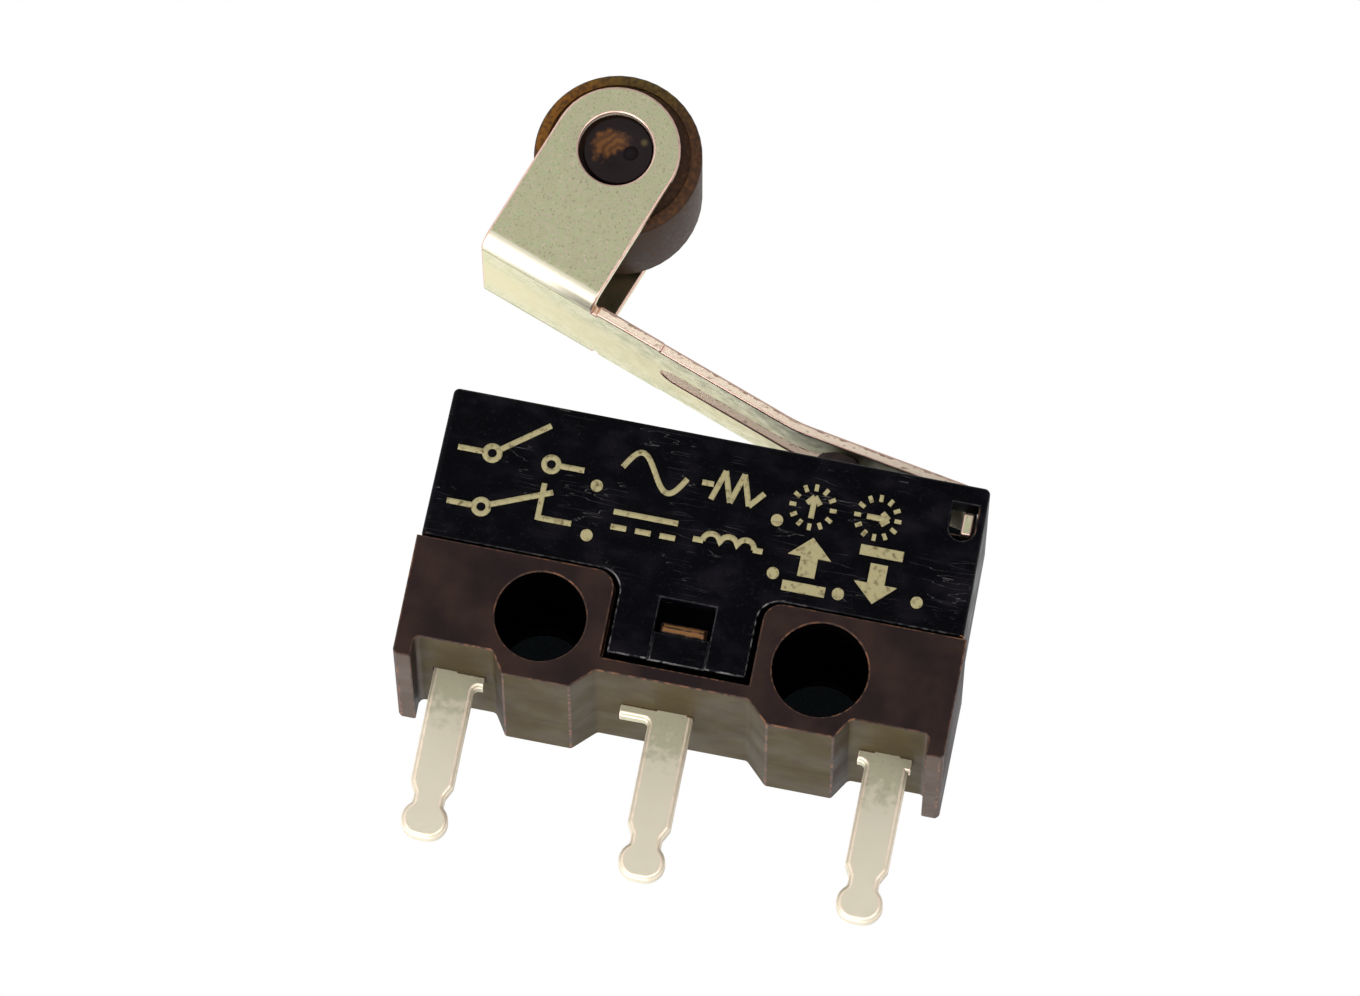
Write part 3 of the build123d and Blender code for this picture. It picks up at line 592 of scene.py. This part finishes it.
def roller_moulding(colours):
    """Dark roller whose end ring carries a painted highlight, warm on one side and olive on top, and dark
    axle ends with a warm swirled spot and a painted glint.
    """
    recipe = Recipe("roller_moulding", gloss=0.08)
    grain = recipe.noise(9, 6)
    low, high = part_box("roller")
    middle = (low + high) / 2 / MM
    outward = recipe.vector("MULTIPLY", recipe.vector("SUBTRACT", recipe.place, middle), (1, 0, 1))
    radius = recipe.vector("DISTANCE", outward, (0, 0, 0))
    body = recipe.blend(grain, 0.44, 0.7, colours.roller, colours.roller_grain, 0.35)
    # Warm and olive sides of the ring: painted highlight
    warm = recipe.spread(recipe.vector("DOT_PRODUCT", outward, WARM_HIGHLIGHT_SIDE), -0.2, 1.6)
    olive = recipe.spread(recipe.vector("DOT_PRODUCT", outward, OLIVE_HIGHLIGHT_SIDE), 1.0, 1.9, 0.0, 0.8)
    ring = recipe.mix(warm, colours.roller_grain, colours.roller_ring_highlight)
    ring = recipe.mix(olive, ring, colours.roller_olive_highlight)
    inner, outer = ROLLER_RING
    on_ring = recipe.times(recipe.past(radius, inner, 0.06), recipe.past(radius, outer, -0.025))
    tinted = recipe.number("MAXIMUM", recipe.number("MAXIMUM", warm, olive), LEAST_TINT)
    patchy = recipe.times(recipe.spread(grain, 0.36, 0.6, 0.3, 1.0), tinted)
    body = recipe.mix(recipe.times(on_ring, patchy), body, ring)
    swirl = recipe.number("ADD", radius, recipe.spread(recipe.noise(1.6, 4), 0, 1, 0, 0.5))
    turning = recipe.spread(recipe.number("SINE", recipe.times(swirl, SWIRL_RATE)), -0.8, 1.0, 0.5, 1.0)
    smear = recipe.spread(recipe.noise(3, 4), 0.3, 0.7, -0.16, 0.16)
    smear = recipe.number("ADD", recipe.vector("DISTANCE", outward, HUB_SPOT), smear)
    warm_spot = recipe.times(recipe.spread(smear, 0.46, 0.2), turning)
    hub = recipe.mix(warm_spot, colours.roller_hub, colours.roller_grain)
    # Small khaki spot on the axle's end: painted glint
    from_glint = recipe.vector("DISTANCE", outward, HUB_GLINT)
    hub = recipe.blend(from_glint, 0.12, 0.02, hub, colours.marks_worn_and_hub_glint, 0.6)
    recipe.colour(recipe.mix(recipe.past(radius, HUB_RADIUS, -0.02), body, hub))
    recipe.rough(grain, 0.42, 0.58)
    recipe.bump(grain, 0.012, 0.6)
    return recipe.material


def plunger_moulding(colours):
    """Brown plunger with darker clouds, and a roughness that varies with them."""
    recipe = Recipe("plunger_moulding", gloss=0.3)
    clouds = recipe.noise(2.4, 4)
    recipe.colour(recipe.blend(clouds, 0.35, 0.7, colours.plunger, colours.base_dark))
    recipe.rough(clouds, 0.3, 0.5)
    recipe.bump(recipe.noise(14, 2), 0.005, 0.4)
    return recipe.material


# Pieces


def new_object(name, data):
    """An object in the scene with this mesh, curve, camera or lamp."""
    made = bpy.data.objects.new(name, data)
    bpy.context.scene.collection.objects.link(made)
    return made


def joined_copy(node):
    """A copy of a solid's mesh, its loose triangles joined into clean faces."""
    name = node + "_piece"
    mesh = frame["nodes"][node].data.copy()
    mesh.name = name
    if "custom_normal" in mesh.attributes:
        mesh.attributes.remove(mesh.attributes["custom_normal"])
    work = bmesh.new()
    work.from_mesh(mesh)
    bmesh.ops.remove_doubles(work, verts=work.verts, dist=MERGE_DISTANCE)
    bmesh.ops.dissolve_limit(work, angle_limit=FLAT_ANGLE, verts=work.verts, edges=work.edges)
    work.to_mesh(mesh)
    work.free()
    mesh.materials.clear()
    mesh.shade_smooth()
    mesh.set_sharp_from_angle(angle=SHARP_ANGLE)
    return new_object(name, mesh)


def dress(piece, material, *others):
    """Give a piece its material, and others to the faces that their tests choose.

    A test gets a face's middle, in millimetres, and its normal.
    """
    piece.data.materials.append(material)
    for index, (other, chosen) in enumerate(others, 1):
        piece.data.materials.append(other)
        for face in piece.data.polygons:
            if chosen(face.center / MM, face.normal):
                face.material_index = index


def soften(piece, width, edge_material):
    """Round the sharp edges a little, the last material on the new faces."""
    piece.data.materials.append(edge_material)
    bevel = piece.modifiers.new("soft_edges", "BEVEL")
    bevel.width = width
    bevel.segments = 2
    bevel.limit_method = "ANGLE"
    bevel.angle_limit = SHARP_ANGLE
    bevel.harden_normals = True
    bevel.use_clamp_overlap = False
    bevel.material = len(piece.data.materials) - 1


def stands_for(piece, node):
    """The piece takes the node's place and body: the node is hidden and the piece joins its body."""
    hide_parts(node)
    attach(piece, BODY_OF_NODE[node])


def keeps_solid(node, material):
    """A solid whose shape is right as it is gets its finish."""
    mesh = frame["nodes"][node].data
    mesh.materials.clear()
    mesh.materials.append(material)


def is_cut_edge(centre, normal):
    """Sheared edges of the lever: the arm's sides, the slot's walls and the ears' rims."""
    side = abs(centre.y)
    ear_z, ear_y = EAR_EDGES
    if side > ear_y:
        return abs(normal.y) < TURNED_OFF and centre.z > ear_z
    return abs(normal.y) > SQUARE_ON or (side < SLOT_HALF_WIDTH and abs(normal.z) < STEEP)


def is_shaded_fork_inside(centre, normal):
    """Inner faces of the fork's ears, which get painted shade."""
    ear_z, ear_y = EAR_INSIDES
    faces_in = abs(normal.y) > SQUARE_ON and centre.y * normal.y < 0
    return faces_in and abs(centre.y) > ear_y and centre.z > ear_z


def is_fold_highlight(centre, normal):
    """Outer skin of the fork's two folds, which gets a painted highlight."""
    outward = normal.y * math.copysign(1, centre.y)
    fold_x, fold_y = FOLD_HIGHLIGHT_BOX
    in_fold = centre.x < fold_x and abs(centre.y) > fold_y
    return in_fold and normal.z < DOWNWARD and FOLD_TURN[0] < outward < FOLD_TURN[1]


def is_nub(centre, normal):
    """The two nubs that the cover's windows snap over."""
    return abs(centre.x) < NUB_HALF_WIDTH and abs(centre.y) > RECESS_Y[1] and NUB_Z[0] < centre.z < NUB_Z[1]


def is_painted_shade_wall(centre, normal):
    """Walls of the mounting holes, and of the recesses behind the cover's snap tabs, which get painted shade.
    """
    if abs(normal.y) < EDGE_ON:
        return math.hypot(abs(centre.x) - HOLE_X, centre.z) < HOLE_REACH
    in_recess = RECESS_Y[0] < abs(centre.y) < RECESS_Y[1] and RECESS_Z[0] < centre.z < RECESS_Z[1]
    return abs(normal.y) > SQUARE_ON and in_recess and abs(centre.x) < RECESS_HALF_WIDTH


def make_base(scene):
    """Base moulding with its nubs, an edge tone that is partly wear and partly painted highlight, and painted
    shade in its holes and recesses.
    """
    colours = scene.switch_colours
    piece = joined_copy("base")
    dress(piece, base_moulding(colours), (snap_nub(colours), is_nub), (bore_wall(colours), is_painted_shade_wall))
    soften(piece, scene.switch_sizes.moulded_edge, base_rim(colours))
    stands_for(piece, "base")


def make_cover(scene):
    """Cover moulding with a patchy painted highlight on its edges."""
    piece = joined_copy("cover")
    dress(piece, cover_moulding(scene.switch_colours))
    soften(piece, scene.switch_sizes.moulded_edge, cover_rim(scene.switch_colours))
    stands_for(piece, "cover")


# Raised signs on the cover

# Shares of a block arrow's width and height, and sizes of its bar in millimetres
STEM_SHARE = 0.2
NECK_SHARE = 0.5
BAR_GAP = 0.16
BAR_THICKNESS = 0.24


def front_of_cover(x, z):
    """The point of the cover's drafted front at this place."""
    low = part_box("cover")[0]
    return Vector((x * MM, low.y + (z * MM - low.z) * math.tan(COVER_DRAFT), z * MM))


def arc(x, z, radius, start, end, steps=16):
    """Points of an arc, its angles in degrees."""
    angles = [math.radians(start + (end - start) * step / steps) for step in range(steps + 1)]
    return [(x + radius * math.cos(angle), z + radius * math.sin(angle)) for angle in angles]


def wave(x, z, width, height, steps=28):
    """Points of one swing of a sine."""
    shares = [step / steps for step in range(steps + 1)]
    return [(x + width * share, z + height * math.sin(2 * math.pi * share)) for share in shares]


def coil(x, z, radius, turns):
    """Half-round loops in a row."""
    points = []
    for turn in range(turns):
        points += arc(x + radius * (2 * turn + 1), z, radius, 180, 0, 10)[turn > 0 :]
    return points


def zigzag(x, z, step, height, count):
    """Straight strokes up and down, each on its own so that its ends stay square."""
    points = [(x + step * index, z + (height if index % 2 else -height)) for index in range(count)]
    return [[first, second] for first, second in zip(points, points[1:])]


def arrow(x, z, height, width):
    """Outlines of a block arrow and of the bar at its foot. A negative height points it down."""
    side = math.copysign(1, height)
    stem = width * STEM_SHARE
    neck = height * NECK_SHARE
    points = [(stem, 0), (stem, neck), (width / 2, neck), (0, height)]
    right = [(x + across, z + up) for across, up in points]
    left = [(x - across, z + up) for across, up in reversed(points[:-1])]
    bar_top = z - side * BAR_GAP
    bar = [(x - width / 2, bar_top), (x + width / 2, bar_top)]
    bar += [(across, up - side * BAR_THICKNESS) for across, up in reversed(bar)]
    return [right + left, bar]


LINES = [
    # Make contact: two poles and an open arm
    [(-5.9, 3.6), (-5.27, 3.6)],
    arc(-5.1, 3.6, 0.17, 0, 360),
    [(-4.96, 3.7), (-3.9, 4.5)],
    arc(-3.72, 3.6, 0.17, 0, 360),
    [(-3.55, 3.6), (-2.95, 3.6)],
    # Break contact: two poles and a closed arm
    [(-5.9, 2.3), (-5.27, 2.3)],
    arc(-5.1, 2.3, 0.17, 0, 360),
    [(-4.94, 2.38), (-3.55, 2.95)],
    [(-3.78, 2.24), (-3.78, 3.12)],
    [(-3.78, 2.3), (-3.0, 2.3)],
    # Alternating current
    wave(-2.1, 3.86, 1.5, 0.42),
    # Direct current
    [(-2.1, 2.78), (-0.6, 2.78)],
    [(-2.1, 2.42), (-1.74, 2.42)],
    [(-1.53, 2.42), (-1.17, 2.42)],
    [(-0.96, 2.42), (-0.6, 2.42)],
    # Resistive load
    [(-0.25, 3.86), (0.02, 3.86)],
    *zigzag(0.02, 3.86, 0.22, 0.36, 5),
    [(0.9, 3.5), (1.2, 3.86)],
    # Inductive load
    [(-0.2, 2.5), (0.04, 2.5)],
    coil(0.02, 2.5, 0.2, 3),
    [(1.2, 2.5), (1.42, 2.5)],
    # Hands in the two rings of ticks
    [(2.35, 3.5), (2.35, 4.02)],
    [(2.2, 3.84), (2.35, 4.02)],
    [(2.5, 3.84), (2.35, 4.02)],
    [(3.6, 3.8), (4.1, 3.8)],
    [(3.94, 3.94), (4.1, 3.8)],
    [(3.94, 3.66), (4.1, 3.8)],
]
PLATES = [
    *arrow(2.5, 2.1, 0.95, 1.0),
    *arrow(4.1, 2.72, -0.95, 1.0),
]
DOTS = [(-2.6, 3.3), (-2.6, 2.1), (1.6, 3.3), (1.75, 2.05), (3.3, 1.85), (5.1, 2.0)]
DOT_RADIUS = 0.14
DOT_SIDES = 24
RING_PLACES = [(2.35, 3.76), (3.85, 3.8)]
PLATE_ROOT = 0.06
TICK_WIDTH_SHARE = 0.7
TICK_LENGTH_SHARE = 1.7
CORNER_SHARE = 0.4
TO_FRONT = (math.pi / 2, 0, 0)


def stroke_curve(name, strokes):
    """Strokes as open curves on the cover's front."""
    curve = bpy.data.curves.new(name, "CURVE")
    curve.dimensions = "3D"
    for stroke in strokes:
        spline = curve.splines.new("POLY")
        spline.points.add(len(stroke) - 1)
        for point, (x, z) in zip(spline.points, stroke):
            point.co = (*front_of_cover(x, z), 1)
    return new_object(name, curve)


class Builder(NodeMaker):
    """A Geometry Nodes tree with named inputs, ending in plain mesh of one material."""

    def __init__(self, name, inputs):
        super().__init__(bpy.data.node_groups.new(name, "GeometryNodeTree"))
        self.new_socket("Geometry", "INPUT", "Geometry")
        self.names = {}
        for label, kind in inputs.items():
            self.names[label] = self.new_socket(label, "INPUT", kind).identifier
        self.new_socket("Geometry", "OUTPUT", "Geometry")
        self.start = self.add("NodeGroupInput").outputs

    def new_socket(self, label, in_out, kind):
        """A socket on the outside of the tree."""
        return self.tree.interface.new_socket(label, in_out=in_out, socket_type="NodeSocket" + kind)

    def thickness(self):
        """Twice the relief, because half of each shape lies in the cover's wall."""
        return self.times(self.start["Relief"], 2.0)

    def on_points(self, points, instance, rotation):
        """Copies of an instance on points."""
        inputs = {"Points": points, "Instance": instance, "Rotation": rotation}
        return self.add("GeometryNodeInstanceOnPoints", inputs).outputs[0]

    def finish(self, geometry):
        """Realize the instances and set the material."""
        plain = self.add("GeometryNodeRealizeInstances", {"Geometry": geometry})
        inputs = {"Geometry": plain.outputs[0], "Material": self.start["Material"]}
        painted = self.add("GeometryNodeSetMaterial", inputs)
        self.add("NodeGroupOutput", {0: painted.outputs[0]})
        return self

    def made_on(self, source, name, values):
        """Run the tree on an object, and give its result as a plain mesh object."""
        modifier = source.modifiers.new(name, "NODES")
        modifier.node_group = self.tree
        for label, value in values.items():
            modifier[self.names[label]] = value
        graph = bpy.context.evaluated_depsgraph_get()
        mesh = bpy.data.meshes.new_from_object(source.evaluated_get(graph))
        mesh.name = name
        source.modifiers.remove(modifier)
        bpy.data.objects.remove(source)
        return new_object(name, mesh)


def stroke_builder():
    """Flat-topped raised lines along curves."""
    builder = Builder("raised_lines", {"Width": "Float", "Relief": "Float", "Material": "Material"})
    start = builder.start
    section = builder.add(
        "GeometryNodeCurvePrimitiveQuadrilateral",
        {"Width": builder.thickness(), "Height": start["Width"]},
    )
    corner = builder.times(start["Relief"], CORNER_SHARE)
    rounded = builder.add("GeometryNodeFilletCurve", {"Curve": section.outputs[0], "Radius": corner})
    turned = builder.add(
        "GeometryNodeSetCurveNormal", {"Curve": start["Geometry"], "Normal": (0, -1, 0)}, mode="FREE"
    )
    swept = builder.add(
        "GeometryNodeCurveToMesh",
        {"Curve": turned.outputs[0], "Profile Curve": rounded.outputs[0], "Fill Caps": True},
    )
    return builder.finish(swept.outputs[0])


def point_object(name, places):
    """Loose points on the cover's front as a mesh object."""
    mesh = bpy.data.meshes.new(name)
    mesh.from_pydata([front_of_cover(x, z) for x, z in places], [], [])
    return new_object(name, mesh)


def dot_builder():
    """A low round stud on each point."""
    builder = Builder("raised_dots", {"Radius": "Float", "Relief": "Float", "Material": "Material"})
    start = builder.start
    inputs = {"Vertices": DOT_SIDES, "Radius": start["Radius"], "Depth": builder.thickness()}
    stud = builder.add("GeometryNodeMeshCylinder", inputs)
    return builder.finish(builder.on_points(start["Geometry"], stud.outputs[0], TO_FRONT))


def tick_builder():
    """Short ticks set out evenly round a circle about each point."""
    inputs = {"Radius": "Float", "Ticks": "Int", "Width": "Float", "Relief": "Float", "Material": "Material"}
    builder = Builder("ring_of_ticks", inputs)
    start = builder.start
    reach = builder.times(start["Width"], TICK_LENGTH_SHARE)
    size = builder.add("ShaderNodeCombineXYZ", {"X": reach, "Y": start["Width"], "Z": builder.thickness()})
    tick = builder.add("GeometryNodeMeshCube", {"Size": size.outputs[0]})
    circle = builder.add("GeometryNodeMeshCircle", {"Vertices": start["Ticks"], "Radius": start["Radius"]})
    step = builder.number("DIVIDE", 2 * math.pi, start["Ticks"])
    angle_round = builder.times(builder.add("GeometryNodeInputIndex").outputs[0], step)
    turn = builder.add("ShaderNodeCombineXYZ", {"Z": angle_round})
    ring = builder.on_points(circle.outputs[0], tick.outputs[0], turn.outputs[0])
    whole = builder.add("GeometryNodeRealizeInstances", {"Geometry": ring})
    return builder.finish(builder.on_points(start["Geometry"], whole.outputs[0], TO_FRONT))


def plates(name, outlines, relief, material):
    """Raised flat shapes on the cover's front, rooted in its wall."""
    work = bmesh.new()
    for outline in outlines:
        front = [front_of_cover(x, z) + Vector((0, -relief, 0)) for x, z in outline]
        root = [point + Vector((0, relief + PLATE_ROOT * MM, 0)) for point in front]
        near = [work.verts.new(point) for point in front]
        far = [work.verts.new(point) for point in root]
        work.faces.new(near)
        work.faces.new(list(reversed(far)))
        for index in range(len(near)):
            after = (index + 1) % len(near)
            work.faces.new((near[index], far[index], far[after], near[after]))
    bmesh.ops.recalc_face_normals(work, faces=work.faces)
    mesh = bpy.data.meshes.new(name)
    work.to_mesh(mesh)
    work.free()
    mesh.materials.append(material)
    return new_object(name, mesh)


def make_marks(scene):
    """Raised circuit signs, arrows, dots and rings of ticks on the cover's front."""
    sizes = scene.switch_sizes
    material = raised_marks(scene.switch_colours)
    common = {"Relief": sizes.relief, "Material": material}
    made = [
        stroke_builder().made_on(
            stroke_curve("sign_lines", LINES), "cover_signs", {"Width": sizes.stroke, **common}
        ),
        plates("cover_arrows", PLATES, sizes.relief, material),
        dot_builder().made_on(
            point_object("dot_points", DOTS), "cover_dots", {"Radius": DOT_RADIUS * MM, **common}
        ),
        tick_builder().made_on(
            point_object("ring_points", RING_PLACES),
            "cover_rings",
            {"Radius": sizes.ring, "Ticks": sizes.ticks, "Width": sizes.stroke * TICK_WIDTH_SHARE, **common},
        ),
    ]
    for piece in made:
        if not piece.data.polygons:
            raise RuntimeError(f"{piece.name} came out empty")
        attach(piece, BODY_OF_NODE["cover"])


def make_terminals(scene):
    """The three stamped terminals."""
    plating = pin_plating(scene.switch_colours)
    edge = plated_edge(scene.switch_colours)
    for node in ("terminal_common", "terminal_open", "terminal_closed"):
        piece = joined_copy(node)
        dress(piece, plating)
        soften(piece, scene.switch_sizes.stamped_edge, edge)
        stands_for(piece, node)


def make_mechanism(scene):
    """Snap blade and contacts, hidden in the cover."""
    keeps_solid("blade", spring_strip(scene.switch_colours))
    metal = contact_metal(scene.switch_colours)
    for node in ("contact_open", "contact_closed", "contact_moving"):
        keeps_solid(node, metal)


def make_plunger(scene):
    """Plunger moulding."""
    piece = joined_copy("plunger")
    material = plunger_moulding(scene.switch_colours)
    dress(piece, material)
    soften(piece, scene.switch_sizes.moulded_edge, material)
    stands_for(piece, "plunger")


def make_lever(scene):
    """Lever sheet with its sheared edges, a painted highlight on its folds and painted shade inside the fork.
    """
    colours = scene.switch_colours
    piece = joined_copy("lever")
    dress(
        piece,
        lever_sheet(colours),
        (sheared_edge(colours), is_cut_edge),
        (fork_inside(colours), is_shaded_fork_inside),
        (fold_skin(colours), is_fold_highlight),
    )
    soften(piece, scene.switch_sizes.burnished_rim, burnished_edge(colours))
    stands_for(piece, "lever")


def make_roller(scene):
    """Roller moulding."""
    piece = joined_copy("roller")
    dress(piece, roller_moulding(scene.switch_colours))
    stands_for(piece, "roller")


# Stage

TARGET = Vector((-0.83, 0, 4.14)) * MM
# Height and half width of the floor, in metres
FLOOR_Z = -0.6
FLOOR_HALF = 6.0
FLOOR_GREY = (0.82, 0.82, 0.81)
FLOOR_PALE = (0.86, 0.86, 0.85)
FLOOR_GLOW = 0.5
# X and Z, in millimetres, at which the camera sees the corners of the dark card, which is painted shade
SHADE_CARD_CORNERS = ((-4.6, -0.5), (5.95, -0.5), (5.95, 5.4), (-4.6, 5.4))
SHADE_CARD_TIMES_FURTHER = 6.4
SHADE_CARD_BLACK = (0.002, 0.003, 0.003)
SHADE_CARD_DARK = (0.008, 0.01, 0.012)
# The room in reflections is white this way, and fades towards the front
BACK_AND_DOWN = (0, 0.8, -0.6)
ROOM_FADE = (-0.9, 0.15)
# Place, width, height and aim of each lamp, in metres
LAMPS = {
    "key": ((0.2, -0.3, -0.12), 0.32, 0.2, TARGET),
    "fill": ((-0.25, -0.28, 0.2), 0.32, 0.32, TARGET),
    "low": ((-0.07, -0.07, -0.11), 0.16, 0.32, (-0.07, -0.07, 1)),
}


def camera_axes(stage):
    """Right, up and forward of the camera."""
    across = math.cos(stage.elevation)
    forward = Vector(
        (-math.sin(stage.azimuth) * across, math.cos(stage.azimuth) * across, -math.sin(stage.elevation))
    )
    level = forward.cross(Vector((0, 0, 1))).normalized()
    upright = level.cross(forward)
    right = math.cos(stage.roll) * level + math.sin(stage.roll) * upright
    return right, right.cross(forward), forward


def make_camera(scene):
    """Camera at the photograph's viewing angle."""
    stage = scene.switch_stage
    right, up, forward = camera_axes(stage)
    data = bpy.data.cameras.new("camera")
    data.lens = stage.lens
    data.sensor_width = 36
    data.sensor_fit = "HORIZONTAL"
    data.clip_start = 0.005
    data.clip_end = 20
    camera = new_object("camera", data)
    turn = Matrix((right, up, -forward)).transposed().to_4x4()
    camera.matrix_world = Matrix.Translation(TARGET - stage.distance * forward) @ turn
    scene.camera = camera


def make_lamp(name, place, width, height, power, aim):
    """A soft lamp of this width and height that faces a point."""
    data = bpy.data.lights.new(name, "AREA")
    data.shape = "RECTANGLE"
    data.size = width
    data.size_y = height
    data.energy = power
    lamp = new_object(name, data)
    lamp.visible_camera = False
    turn = (Vector(aim) - Vector(place)).to_track_quat("-Z", "Y").to_matrix().to_4x4()
    lamp.matrix_world = Matrix.Translation(place) @ turn


def make_surround(scene):
    """White surround to the camera and in reflections, and an even light from all round."""
    world = bpy.data.worlds.new("studio_surround")
    world.use_nodes = True
    scene.world = world
    nodes = NodeMaker(world.node_tree)
    nodes.tree.nodes.clear()
    path = nodes.add("ShaderNodeLightPath").outputs
    direction = nodes.add("ShaderNodeTexCoord").outputs["Generated"]
    behind = nodes.add("ShaderNodeVectorMath", {0: direction, 1: BACK_AND_DOWN}, operation="DOT_PRODUCT")
    room = nodes.spread(behind.outputs["Value"], *ROOM_FADE, scene.switch_stage.front_reflection)
    seen = nodes.number("MAXIMUM", path["Is Camera Ray"], room)
    mirrored = nodes.number("MAXIMUM", path["Is Glossy Ray"], path["Is Transmission Ray"])
    shown = nodes.number("MAXIMUM", path["Is Camera Ray"], mirrored)
    inputs = {0: shown, 2: scene.switch_stage.ambient, 3: seen}
    strength = nodes.add("ShaderNodeMix", inputs, data_type="FLOAT")
    background = nodes.add("ShaderNodeBackground", {"Color": (1, 1, 1, 1), "Strength": strength.outputs[0]})
    output = nodes.add("ShaderNodeOutputWorld", {"Surface": background.outputs[0]})
    output.is_active_output = True


def card(name, corners, material):
    """A flat piece of the stage with four corners."""
    mesh = bpy.data.meshes.new(name)
    mesh.from_pydata(corners, [], [(0, 1, 2, 3)])
    mesh.materials.append(material)
    return new_object(name, mesh)


def make_floor():
    """Plain pale floor below the camera."""
    corners = [(x * FLOOR_HALF, y * FLOOR_HALF, FLOOR_Z) for x, y in ((-1, -1), (1, -1), (1, 1), (-1, 1))]
    recipe = Recipe("pale_floor", 0.9)
    clouds = recipe.noise(0.01, 3)
    recipe.colour(recipe.blend(clouds, 0.3, 0.7, FLOOR_GREY, FLOOR_PALE))
    path = recipe.add("ShaderNodeLightPath")
    shown = recipe.number("MAXIMUM", path.outputs["Is Camera Ray"], path.outputs["Is Glossy Ray"])
    recipe.shader.inputs["Emission Color"].default_value = (1, 1, 1, 1)
    recipe.feed(recipe.shader.inputs["Emission Strength"], recipe.times(shown, FLOOR_GLOW))
    card("floor", corners, recipe.material)


def make_shade_card(scene):
    """Dark card far behind the housing, seen only through its holes and its window: painted shade standing in
    for the shadow there.
    """
    stage = scene.switch_stage
    eye = TARGET - stage.distance * camera_axes(stage)[2]
    corners = [eye + (Vector((x * MM, 0, z * MM)) - eye) * SHADE_CARD_TIMES_FURTHER for x, z in SHADE_CARD_CORNERS]
    recipe = Recipe("flag_cloth", 0.9, gloss=0.0)
    weave = recipe.noise(2, 2)
    recipe.colour(recipe.mix(weave, SHADE_CARD_BLACK, SHADE_CARD_DARK))
    card("flag", corners, recipe.material)


def make_stage(scene):
    """Floor, surround, lamps and camera."""
    scene.view_settings.view_transform = "Standard"
    make_camera(scene)
    make_surround(scene)
    make_floor()
    make_shade_card(scene)
    stage = scene.switch_stage
    for name, (place, width, height, aim) in LAMPS.items():
        make_lamp(name + "_lamp", place, width, height, getattr(stage, name + "_power"), aim)


# Operators


class SWITCH_OT_base(bpy.types.Operator):
    """Finish the base"""

    bl_idname = "micro_switch.base"
    bl_label = "Base"

    def execute(self, context):
        make_base(context.scene)
        return {"FINISHED"}


class SWITCH_OT_cover(bpy.types.Operator):
    """Finish the cover"""

    bl_idname = "micro_switch.cover"
    bl_label = "Cover"

    def execute(self, context):
        make_cover(context.scene)
        return {"FINISHED"}


class SWITCH_OT_marks(bpy.types.Operator):
    """Raise the signs on the cover"""

    bl_idname = "micro_switch.marks"
    bl_label = "Signs on the cover"

    def execute(self, context):
        make_marks(context.scene)
        return {"FINISHED"}


class SWITCH_OT_terminals(bpy.types.Operator):
    """Finish the terminals"""

    bl_idname = "micro_switch.terminals"
    bl_label = "Terminals"

    def execute(self, context):
        make_terminals(context.scene)
        return {"FINISHED"}


class SWITCH_OT_mechanism(bpy.types.Operator):
    """Finish the snap blade and the contacts"""

    bl_idname = "micro_switch.mechanism"
    bl_label = "Blade and contacts"

    def execute(self, context):
        make_mechanism(context.scene)
        return {"FINISHED"}


class SWITCH_OT_plunger(bpy.types.Operator):
    """Finish the plunger"""

    bl_idname = "micro_switch.plunger"
    bl_label = "Plunger"

    def execute(self, context):
        make_plunger(context.scene)
        return {"FINISHED"}


class SWITCH_OT_lever(bpy.types.Operator):
    """Finish the lever"""

    bl_idname = "micro_switch.lever"
    bl_label = "Lever"

    def execute(self, context):
        make_lever(context.scene)
        return {"FINISHED"}


class SWITCH_OT_roller(bpy.types.Operator):
    """Finish the roller"""

    bl_idname = "micro_switch.roller"
    bl_label = "Roller"

    def execute(self, context):
        make_roller(context.scene)
        return {"FINISHED"}


class SWITCH_OT_stage(bpy.types.Operator):
    """Set up the floor, the light and the camera"""

    bl_idname = "micro_switch.stage"
    bl_label = "Stage"

    def execute(self, context):
        make_stage(context.scene)
        return {"FINISHED"}


OPERATORS = (
    SWITCH_OT_base,
    SWITCH_OT_cover,
    SWITCH_OT_marks,
    SWITCH_OT_terminals,
    SWITCH_OT_mechanism,
    SWITCH_OT_plunger,
    SWITCH_OT_lever,
    SWITCH_OT_roller,
    SWITCH_OT_stage,
)
GROUPS = {"switch_sizes": SwitchSizes, "switch_colours": SwitchColours, "switch_stage": SwitchStage}


class SWITCH_PT_panel(bpy.types.Panel):
    """Sizes, colours and steps of the micro switch"""

    bl_label = "Micro switch"
    bl_space_type = "VIEW_3D"
    bl_region_type = "UI"
    bl_category = "Micro switch"

    def draw(self, context):
        for operator in OPERATORS:
            self.layout.operator(operator.bl_idname)
        for attribute, group in GROUPS.items():
            box = self.layout.box()
            for name in group.__annotations__:
                box.prop(getattr(context.scene, attribute), name)


CLASSES = (*GROUPS.values(), *OPERATORS, SWITCH_PT_panel)


def register():
    for kind in CLASSES:
        bpy.utils.register_class(kind)
    for attribute, group in GROUPS.items():
        setattr(bpy.types.Scene, attribute, PointerProperty(type=group))


def unregister():
    for attribute in GROUPS:
        delattr(bpy.types.Scene, attribute)
    for kind in reversed(CLASSES):
        bpy.utils.unregister_class(kind)


def main():
    register()
    for operator in OPERATORS:
        name = operator.bl_idname.split(".")[1]
        getattr(bpy.ops.micro_switch, name)()


if __name__ == "__main__":
    main()
